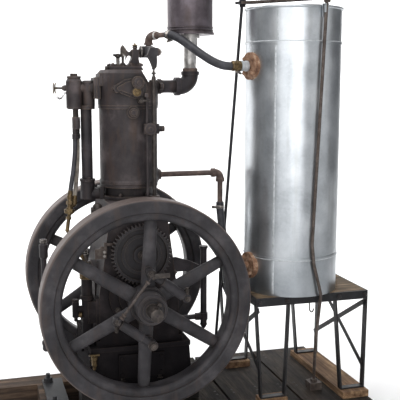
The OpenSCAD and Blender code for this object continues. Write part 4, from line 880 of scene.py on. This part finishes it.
class ENGINE_OT_head_fittings(Step, bpy.types.Operator):
    """Add the springs, caps, plugs and cocks on the cylinder head"""

    bl_idname = "engine.head_fittings"
    bl_label = "Head fittings"

    def execute(self, context):
        cup = COVER + Vector((-40, -20, 7)) * MM
        wings = [slab((11, 3, 9), 1.2, (s * 15, 0, 0)) for s in (-1, 1)]
        fitted("priming_spring", "bright_steel", coil(7.2, 1.4, 4.4, 5), cup)
        fitted("priming_wings", "worn_steel", joined(*wings), cup + Z * 33 * MM, Z, 20)
        fitted("lever_pivot", "bright_steel", nut(10, 5, 2.5, 2), COVER + Vector((-18, -4, 41)) * MM, -Y)
        lid = turned(((11.5, 0), (11.8, 1.5), (9, 3.6), (3, 5.2), (2.4, 7), (3.2, 8.4), (2, 10)), 20)
        fitted("oil_cup_lid", "brass", lid, on("rocker_stand", (0, 0.5, 1), (36.5, 0, 0)))
        hub = on("rocker_arm", (1, 0, 0))
        axis_z = on("rocker_arm", (0, 0, 1)).z - 22 * MM
        bands = [placed(band(22.1, 0.9, 5), Vector((hub.x - x * MM, SHAFT.y, axis_z)), X) for x in (3, 45)]
        piece("rocker_bands", "bright_steel", joined(*bands), ROCKER)
        pin = Vector((on("rocker_stand", (1, 0, 0)).x - 7.5 * MM, SHAFT.y, axis_z))
        fitted("rocker_pin_nut", "bright_steel", nut(20, 7, 5.6, 3), pin, X)
        fitted("head_nut", "worn_steel", nut(15, 9, 4.5, 3), COVER + Vector((-84, -32, -14)) * MM)
        # round boss and nut on the front of the rod guide
        guide = on("rod_guide", (0, 0, 0), (19, 0, 0))
        guide.z = on("cylinder", (0, 0, 1)).z - 84 * MM
        boss = turned(((20.5, -3), (22.5, -1), (22.5, 7), (20, 10), (9, 11), (7.5, 13), (3, 13.6)), 32)
        fitted("guide_boss", "oily_cast_iron", boss, guide, -Y)
        # exhaust valve: spring round its stem
        valve = COVER + Vector((38, 35, 4)) * MM
        fitted("valve_spring", "worn_steel", coil(11.4, 1.7, 4.6, 4, 8), valve)
        # plugs and caps on the chest
        face = on("cylinder_head", (0, 0, 0))
        face.x = SHAFT.x
        cap = turned(((17.5, -2), (17.5, 1.5), (15, 4), (6, 5.5), (6, 8), (4.5, 9)), 32)
        fitted("chest_cap", "oily_cast_iron", cap, face + Vector((11, 0, 84)) * MM, -Y)
        plug = joined(turned(((15, -2), (15.5, 2.4), (13, 3.8)), 28), placed(nut(15, 8), Z * 3 * MM, Z, 12))
        fitted("chest_plug", "brass", plug, face + Vector((6, 7, 50)) * MM, -Y)
        stem = turned(((6, -2), (6.5, 5), (8.5, 6), (8.5, 17), (6, 18), (3, 19), (3, 24)), 20)
        cock = joined(stem, placed(slab((30, 7, 3.4), 1.2, (11, 0, 22)), Vector()))
        fitted("petcock", "worn_steel", cock, face + Vector((24, 17, 19)) * MM, -Y, 180)
        low = turned(((12, -2), (12.5, 1.5), (10, 3), (10, 4)), 6)
        seat = Vector((SHAFT.x - 4 * MM, on("cylinder", (0, 0, 0)).y, on("cylinder", (0, 0, 1)).z - 24 * MM))
        fitted("cleaning_plug", "oily_cast_iron", low, seat, -Y)
        return {"FINISHED"}


class ENGINE_OT_mixer_fittings(Step, bpy.types.Operator):
    """Hang the needle's chain and ring the fuel unions"""

    bl_idname = "engine.mixer_fittings"
    bl_label = "Mixer fittings"

    def execute(self, context):
        knob = on("mixer_needle", (0.3, 0.5, 0.5))
        links = []
        span, sag, lift = 28, 26, 10
        for k in range(9):
            share = k / 8
            phase = math.pi * (0.25 + 0.6 * share)
            spot = knob + Vector((4 + span * share, -3, -16 - sag * math.sin(phase) + lift * share)) * MM
            slope = Vector((span, 0, -sag * math.pi * 0.6 * math.cos(phase) + lift))
            links.append((spot, slope.cross(Y if k % 2 else slope.cross(Y)), 0))
        piece("needle_chain", "worn_steel", copied(hoop(3.3, 1.2, 14, 6), links))
        rim = [placed(hoop(20, 1.3, 36), on("mixer_needle", (x, 0.5, 0.5)), X) for x in (0.04, 0.24)]
        piece("needle_rims", "brass", joined(*rim))
        # hexagons of the unions, along the falling fuel pipe
        top, low = end_of("fuel_hose", 0, True)[0], on("fuel_pipe", (0, 0, 0))
        joint = top + Vector((-3.8, -6.3, -44)) * MM
        fall = (joint - top).normalized()
        piece("union_nuts", "brass", joined(
            placed(nut(24.5, 13), top + fall * 20 * MM, fall, 8),
            placed(nut(35.5, 10), joint + Vector((-0.4, -0.8, -5)) * MM, Vector((-2, -3.3, -23)), 5),
            placed(nut(19, 9), joint + Vector((-4.7, -7.6, -33)) * MM, Vector((-11, -15, -58)), 20),
            placed(nut(19, 9), Vector((SHAFT.x - 192 * MM, on("fuel_pump", (0, 0.5, 0)).y, low.z + 2 * MM)),
                   Z, 10),
        ))
        cap = turned(((15, 0), (19.5, 2), (19.5, 6), (18, 7), (19.5, 8), (19.5, 12), (18, 13), (19.5, 14),
                      (19.5, 18), (18, 19), (19, 20), (17.5, 30), (12, 37), (4, 41)), 28)
        neck = placed(turned(((12, 0), (12, 32)), 20), Vector((24, 0, 14)) * MM, -X)
        seat = Vector((SHAFT.x - 134 * MM, SHAFT.y - 60 * MM, on("crankcase", (0, 0, 1)).z - 97 * MM))
        fitted("case_breather", "worn_steel", joined(cap, neck), seat)
        return {"FINISHED"}


class ENGINE_OT_pump_fittings(Step, bpy.types.Operator):
    """Add the pump's plunger, gland and valves, and the lever that works it"""

    bl_idname = "engine.pump_fittings"
    bl_label = "Pump fittings"

    def execute(self, context):
        cap = on("fuel_pump", (0, 0.5, 1))
        cap.x = on("fuel_pump", (1, 0, 0)).x - 41.7 * MM
        plunger = turned(((5.5, -4), (5.5, 40), (8.5, 41), (8.5, 45), (4.5, 46), (4.5, 84), (6.5, 85),
                          (6.5, 89)), 20)
        fitted("plunger", "worn_steel", plunger, cap)
        fitted("plunger_spring", "bright_steel", coil(7.6, 1.5, 8.6, 4, 8), cap + Z * 46 * MM)
        gland = turned(((24, 0), (26, 1.5), (26, 9), (24.8, 10), (26, 11), (26, 20), (23, 23), (15.4, 24)),
                       32)
        fitted("gland", "brass", gland, cap - Z * 43 * MM)
        arm = joined(
            slab((40, 9, 12), 2.5, (-42, 0, 0)),
            placed(nut(13, 7, 3, 3), Vector((-56, 0, 5)) * MM),
            placed(turned(((7, -8), (7.5, -6), (7.5, 6), (6, 8)), 16), Vector((-60, 0, 0)) * MM, Y),
        )
        fitted("valve_arm", "rusty_rod", arm, cap - Z * 42 * MM)
        valve = cap + Vector((-46, 0, -178)) * MM
        elbow = joined(
            placed(turned(((10, -2), (10, 7), (8, 8), (8, 13), (11.5, 14), (11.5, 21), (9.5, 23)), 20),
                   Vector(), -X),
            placed(nut(19, 9), Vector((-8, 0, 0)) * MM, -X),
        )
        fitted("side_valve", "brass", elbow, valve + X * 3 * MM)
        fitted("barrel_nut", "oily_cast_iron", nut(44, 25), cap - Z * 207 * MM, Z, 10)
        # roller lever bolted to the front of the case
        case = Vector((SHAFT.x - 143 * MM, on("bearing_plates", (0, 0, 0)).y + 18 * MM, SHAFT.z + 165 * MM))
        block = slab((44, 13, 38), 3, (0, 0, 0))
        reach = slab((34, 9, 11), 2.5, (-36, 0, 33))
        rib = slab((12, 11, 34), 2.5, (-17, 0, 24))
        roller = placed(turned(((10, 0), (12.5, 1.5), (12.5, 11), (10, 12.5)), 28), Vector((-8, -6, 12)) * MM,
                        -Y)
        fitted("roller_lever", "rusty_rod", joined(block, reach, rib, roller), case)
        ends = [(case + Vector((12, -6, dz)) * MM, -Y, 0) for dz in (7, -7)]
        piece("lever_bolts", "bright_steel", copied(nut(11, 7, 3.2, 5), ends))
        return {"FINISHED"}


class ENGINE_OT_governor_fittings(Step, bpy.types.Operator):
    """Add the governor's nuts, springs and screwed link, and the key and centres of the shaft"""

    bl_idname = "engine.governor_fittings"
    bl_label = "Governor fittings"

    def execute(self, context):
        hub = Vector((SHAFT.x, HUB_FACE.y, SHAFT.z))
        pivots = [(hub + Vector((0, -8.3, s * 126)) * MM, -Y, 10) for s in (-1, 1)]
        piece("pivot_nuts", "worn_steel", copied(nut(22, 8, 5, 2.4, 14), pivots), CRANK)
        weights = [(hub + Vector((s * 124, -7, s * 32)) * MM, -Y, 25) for s in (-1, 1)]
        piece("weight_nuts", "worn_steel", copied(nut(15, 7, 4, 3, 10), weights), CRANK)
        ends = [(hub + Vector((s * 126, 8, s * 46)) * MM, Z * s, 0) for s in (-1, 1)]
        spring = joined(coil(6, 1.5, 5, 4, 6), turned(((3.6, -6), (3.6, 22), (5.6, 22.5), (5.6, 25)), 10))
        piece("weight_springs", "worn_steel", copied(spring, ends), CRANK)
        low, high = hub + Vector((-124, -12, -32)) * MM, hub + Vector((-2, -14, 126)) * MM
        along = high - low
        fitted("link_thread", "rusty_rod", thread(5.4, 150, 3.0, 12), low.lerp(high, 0.12), along, body=CRANK)
        nuts = [(low.lerp(high, s), along, 0) for s in (0.09, 0.15, 0.84)]
        piece("link_nuts", "rusty_rod", copied(nut(16, 8), nuts), CRANK)
        bracket = joined(slab((54, 5, 17), 2, (-30, 0, 0)),
                         placed(nut(12, 6, 3, 3), Vector((-48, -2, 0)) * MM, -Y),
                         placed(nut(12, 6, 3, 3), Vector((-16, -2, 0)) * MM, -Y))
        fitted("link_bracket", "worn_steel", bracket, hub + Vector((0, -21, 126)) * MM, body=CRANK)
        # shaft ends with their centre holes, and the key in the hub
        rims = [(SHAFT_END, -Y, 0), (on("crankshaft", (0.5, 1, 0.5)), Y, 0)]
        piece("shaft_chamfers", "worn_steel", copied(turned(((22.3, -2), (22.3, 0.4), (20, 1.8)), 48), rims),
              CRANK)
        piece("shaft_centres", "black_iron_pipe", copied(turned(((5.2, 0), (5.2, 2.0), (4, 2.1)), 20), rims),
              CRANK)
        key = slab((13, 13, 26), 1.5)
        fitted("hub_key", "worn_steel", key, hub + Vector((21.5, -3, 20)) * MM, -Y, 45, body=CRANK)
        # nut and washer on the cam gear's stud
        stud = Vector((SHAFT.x, on("crankcase", (0, 0, 0)).y, on("cam_gear", (0, 0, 0.5)).z))
        fitted("cam_stud_nut", "worn_steel", nut(21, 8, 6, 3, 17), stud, -Y, 15)
        return {"FINISHED"}


class ENGINE_OT_pipe_fittings(Step, bpy.types.Operator):
    """Add the collars, rings and bushes on the filler, the exhaust and the water outlet"""

    bl_idname = "engine.pipe_fittings"
    bl_label = "Pipe fittings"

    def execute(self, context):
        filler = on("filler_pipe", (0, 0.5, 1), (16.5, 0, 0))
        rings = [placed(hoop(11.6, 1.5, 28), filler - Z * z * MM) for z in (3, 8, 12.5)]
        piece("filler_rings", "bright_steel", joined(*rings))
        riser = on("exhaust_riser", (0.5, 0.5, 0))
        collar = turned(((25, -2), (28.5, 0), (29, 2), (29, 10), (27.5, 12)), 40)
        fitted("riser_collar", "rusty_pipe", collar, riser)
        hose, _ = end_of("upper_hose", 0, False)
        bush = turned(((14.8, 0), (15.6, 1), (15.6, 6), (14, 7.5), (10.4, 8)), 28)
        axis = level(-66)
        fitted("outlet_bush", "aluminium_paint", bush, hose - axis * 71.5 * MM, axis)
        tail, _ = end_of("upper_hose", 0, True)
        out = level(PORT_ANGLE)
        rings = [(19.2, 2.6), (19.2, 6.4), (17.2, 8), (17.2, 12), (20, 13.5), (20, 19), (17.2, 20.5),
                 (17.2, 25), (18.8, 26.5), (18.8, 32), (17, 34)]
        ferrule = turned(((15.8, 0), *rings, (15.9, 36)), 40)
        fitted("tank_barbs", "brass", ferrule, tail + out * 8 * MM, out)
        sleeve = turned(((17, 0), (19.5, 1), (19.5, 8), (17.6, 9.5), (17.6, 20), (19.2, 21), (19.2, 29),
                         (16, 30)), 40)
        fitted("tank_sleeve", "solder", sleeve, tail - out * 22 * MM, out)
        # rolled beads and the folded seam of the exhaust can
        beads = [placed(hoop(88.6, 1.7, 72), on("muffler_shell", (0.5, 0.5, z), (0, 0, dz)))
                 for z, dz in ((0, 4), (0, 14), (1, -4), (1, -14))]
        piece("can_beads", "sooty_sheet", joined(*beads))
        seam = slab((7, 2.2, 252), 0.9)
        can = on("muffler_shell", (0.5, 0.5, 0.5))
        side = Vector((0.2, 0.98, 0))
        fitted("can_seam", "sooty_sheet", seam, can + side.normalized() * 87.4 * MM, Z, -11.5)
        return {"FINISHED"}


class ENGINE_OT_tank_fittings(Step, bpy.types.Operator):
    """Add the tank's seams, flange bolts, rim tab and still water"""

    bl_idname = "engine.tank_fittings"
    bl_label = "Tank fittings"

    def execute(self, context):
        wall = (on("tank_middle_course", (1, 0, 0)) - TANK).x
        seams = []
        for part, angle in (("tank_bottom_course", -133), ("tank_middle_course", -133),
                            ("tank_top_course", -131)):
            tall = (on(part, (0, 0, 1)) - on(part, (0, 0, 0))).z / MM
            out = level(angle)
            spot = on(part, (0.5, 0.5, 0.5)) + out * (wall + 0.5 * MM)
            seams.append(placed(slab((3, 8, tall - 14), 1.2), spot, Z, angle))
        piece("tank_seams", "solder", joined(*seams))
        laps = [placed(hoop(wall / MM + 0.9, 2.3, 128), on("tank_middle_course", (0.5, 0.5, end), (0, 0, dz)))
                for end, dz in ((0, -8.5), (1, 8.5))]
        piece("tank_solder", "solder", joined(*laps))
        tab = joined(slab((20, 2.6, 44), 1, (0, 1.6, -22)), slab((20, 14, 2.6), 1, (0, -4.2, 1)),
                     slab((20, 2.6, 30), 1, (0, -9.8, -14)))
        rim = Vector((TANK.x, TANK.y, on("tank_top_course", (0, 0, 1)).z))
        out = level(-77)
        fitted("rim_tab", "galvanised_sheet", tab, rim + out * (wall + 7.5 * MM) + Z * MM, Z, -167)
        # flange bolts
        out = level(PORT_ANGLE)
        places = []
        for hose, drop in (("upper_hose", 0), ("lower_hose", 34)):
            port = end_of(hose, 0, True)[0] + Z * drop * MM
            face = Vector((TANK.x, TANK.y, port.z + (1 if drop else 0) * MM)) + out * (wall + 13 * MM)
            places += around(face, out, 37, (45, 135, 225, 315))
        piece("tank_flange_bolts", "rusty_flange", copied(nut(13, 7, 4, 3, 9), places))
        depth = context.scene.engine_settings.water_depth
        disc = turned(((wall / MM - 2.6, -4), (wall / MM - 2.6, 0.8), (wall / MM - 6, 0)), 96)
        fitted("water_surface", "still_water", disc, rim - Z * depth)
        return {"FINISHED"}


class ENGINE_OT_bed_hardware(Step, bpy.types.Operator):
    """Add the tie rods' nuts, the stand's hook and bolts, and the nails and bolts of the bed"""

    bl_idname = "engine.bed_hardware"
    bl_label = "Bed hardware"

    def execute(self, context):
        top = on("tie_bar", (0, 0, 1)).z
        rear = on("rear_tie_rod", (1, 0, 1), (-6, 6, 0))
        front = on("front_tie_rod", (0, 0, 1), (44.5, 6.5, 0))
        places = []
        for rod in (rear, front):
            places += [(Vector((rod.x, rod.y, top)), Z, 10), (Vector((rod.x, rod.y, top - 9 * MM)), -Z, 20)]
        places.append((on("tie_blocks", (1, 0, 1), (-24, 25, 0)), Z, 5))
        places.append((on("tie_blocks", (0, 1, 0.5), (20, -20, 1)), Z, 5))
        rod_nut = joined(turned(((12.4, 0), (13.2, 1.2), (13.2, 9), (11.6, 10.4)), 6),
                         turned(((14, -1), (14, 0.8)), 24))
        piece("rod_nuts", "rusty_rod", copied(rod_nut, places))
        piece("rod_threads", "rusty_rod", copied(
            thread(6.6, 18, 2.0, 16), [(Vector((rod.x, rod.y, top)), Z, 0) for rod in (rear, front)]))
        rail = on("stand_frame", (0.47, 0, 0))
        hook = wire([(0, -3, 12), (0, -3.4, -4), (0, -4, -18), (-3, -4.5, -30), (-10, -4.5, -36),
                     (-16, -4.5, -31), (-17, -4.5, -23)], 2.6)
        fitted("stand_hook", "worn_steel", hook, rail)
        frame_z = on("stand_frame", (0, 0, 0.5)).z
        places = [(Vector((on("stand_frame", (s, 0, 0)).x + dx * MM, on("stand_frame", (0, 0, 0)).y,
                           frame_z)), -Y, 8)
                  for s, dx in ((0, 13), (0, 122), (1, -13), (1, -122))]
        piece("stand_bolts", "black_painted_steel", copied(nut(14, 7, 4, 3, 9), places))
        # nails over the sills and lag bolts through the base's foot
        plank = (on("deck_planks", (1, 0, 1)).x - on("deck_planks", (0, 0, 1)).x + 10 * MM) / 4
        nails = []
        for k in range(4):
            for share in (0.13, 0.5, 0.87):
                for y in (-182, -150, 158, 186):
                    spot = on("deck_planks", (0, 0, 1))
                    nails.append((Vector((spot.x + plank * (k + share), y * MM, spot.z)), Z, 0))
        piece("deck_nails", "black_iron_pipe", copied(turned(((4.6, -1), (4.6, 0.5), (2.5, 1.1)), 10), nails))
        foot = on("sub_base", (0.5, 0, 0), (1, 14, 28))
        places = [(foot + X * dx * MM, Z, dx) for dx in (-72, 72)]
        piece("lag_bolts", "worn_steel", copied(nut(17, 11, 5.5, 6, 13), places))
        return {"FINISHED"}


class ENGINE_OT_stage(Step, bpy.types.Operator):
    """Build the floor, the backdrop and the studio light"""

    bl_idname = "engine.stage"
    bl_label = "Stage"

    def execute(self, context):
        # floor, rounded up into a backdrop: an edge extruded along the bend
        select_nothing()
        width, front, back, tall, bend = 12.0, -5.0, 2.6, 5.0, 1.2
        bpy.ops.mesh.primitive_plane_add(size=1, location=(0, (front + back) / 2, 0))
        floor = context.object
        floor.scale = (width, back - front, 1)
        bpy.ops.object.transform_apply(location=True, rotation=True, scale=True)
        edge = max(v.co.y for v in floor.data.vertices)
        bpy.ops.object.mode_set(mode="EDIT")
        bpy.ops.mesh.select_mode(type="EDGE")
        bpy.ops.mesh.select_all(action="DESELECT")
        bpy.ops.object.mode_set(mode="OBJECT")
        for e in floor.data.edges:
            e.select = all(floor.data.vertices[i].co.y > edge - 0.01 for i in e.vertices)
        bpy.ops.object.mode_set(mode="EDIT")
        at = [(bend * math.sin(a), bend * (1 - math.cos(a)))
              for a in [math.pi / 2 * k / 16 for k in range(17)]]
        at.append((bend, tall))
        for (y0, z0), (y1, z1) in zip(at, at[1:]):
            bpy.ops.mesh.extrude_region_move(TRANSFORM_OT_translate={"value": (0, y1 - y0, z1 - z0)})
        bpy.ops.mesh.select_all(action="SELECT")
        bpy.ops.mesh.normals_make_consistent(inside=False)
        bpy.ops.object.mode_set(mode="OBJECT")
        bpy.ops.object.shade_smooth()
        floor.name = "floor"
        floor.data.materials.append(finish("pale_plaster"))
        lamps = (
            ("window", (-0.3, -4.6, 1.6), (0.3, 0.0, 1.0), (2.3, 2.6), 56.0),
            ("window_left", (-2.9, -3.9, 1.6), (0.3, 0.0, 1.0), (2.6, 2.6), 40.0),
            ("room_right", (3.6, -3.2, 1.6), (0.6, -0.2, 1.0), (4.4, 2.8), 22.0),
            ("top", (-0.6, -1.3, 4.0), (0.1, 0.0, 0.9), (2.6, 2.0), 70.0),
            ("wall_left", (-2.6, 1.3, 3.2), (-1.6, 3.8, 1.4), (2.4, 1.6), 120.0),
            ("wall_right", (2.6, 1.3, 3.2), (1.8, 3.8, 1.4), (2.4, 1.6), 120.0),
            ("floor_wash", (0.2, 1.6, 3.4), (0.2, 2.4, 0.0), (3.0, 1.2), 40.0),
        )
        for name, place, target, (wide, high), power in lamps:
            data = bpy.data.lights.new(name, "AREA")
            data.shape = "RECTANGLE"
            data.size = wide
            data.size_y = high
            data.energy = power
            lamp = bpy.data.objects.new(name, data)
            lamp.location = place
            lamp.rotation_euler = (Vector(target) - Vector(place)).to_track_quat("-Z", "Y").to_euler()
            context.scene.collection.objects.link(lamp)
        world = bpy.data.worlds.new("studio")
        context.scene.world = world
        world.use_nodes = True
        sky = world.node_tree.nodes["Background"]
        sky.inputs["Color"].default_value = (*context.scene.engine_settings.studio_tint, 1.0)
        sky.inputs["Strength"].default_value = 0.16
        context.scene.view_settings.view_transform = "Standard"
        return {"FINISHED"}


OPERATORS = (
    ENGINE_OT_camera,
    ENGINE_OT_hoses,
    ENGINE_OT_finishes,
    ENGINE_OT_hose_clamps,
    ENGINE_OT_case_nuts,
    ENGINE_OT_pipe_threads,
    ENGINE_OT_head_fittings,
    ENGINE_OT_mixer_fittings,
    ENGINE_OT_pump_fittings,
    ENGINE_OT_governor_fittings,
    ENGINE_OT_pipe_fittings,
    ENGINE_OT_tank_fittings,
    ENGINE_OT_bed_hardware,
    ENGINE_OT_stage,
)


class ENGINE_PT_panel(bpy.types.Panel):
    """The engine's sizes, and its pieces in the order they are made"""

    bl_idname = "ENGINE_PT_panel"
    bl_label = "Stationary Engine"
    bl_space_type = "VIEW_3D"
    bl_region_type = "UI"
    bl_category = "Engine"

    def draw(self, context):
        for name in EngineSettings.__annotations__:
            self.layout.prop(context.scene.engine_settings, name)
        for operator in OPERATORS:
            self.layout.operator(operator.bl_idname)


CLASSES = (EngineSettings, *OPERATORS, ENGINE_PT_panel)


def register():
    for cls in CLASSES:
        bpy.utils.register_class(cls)
    bpy.types.Scene.engine_settings = bpy.props.PointerProperty(type=EngineSettings)


def unregister():
    del bpy.types.Scene.engine_settings
    for cls in reversed(CLASSES):
        bpy.utils.unregister_class(cls)


def main():
    register()
    for operator in OPERATORS:
        group, name = operator.bl_idname.split(".")
        getattr(getattr(bpy.ops, group), name)()


if __name__ == "__main__":
    main()
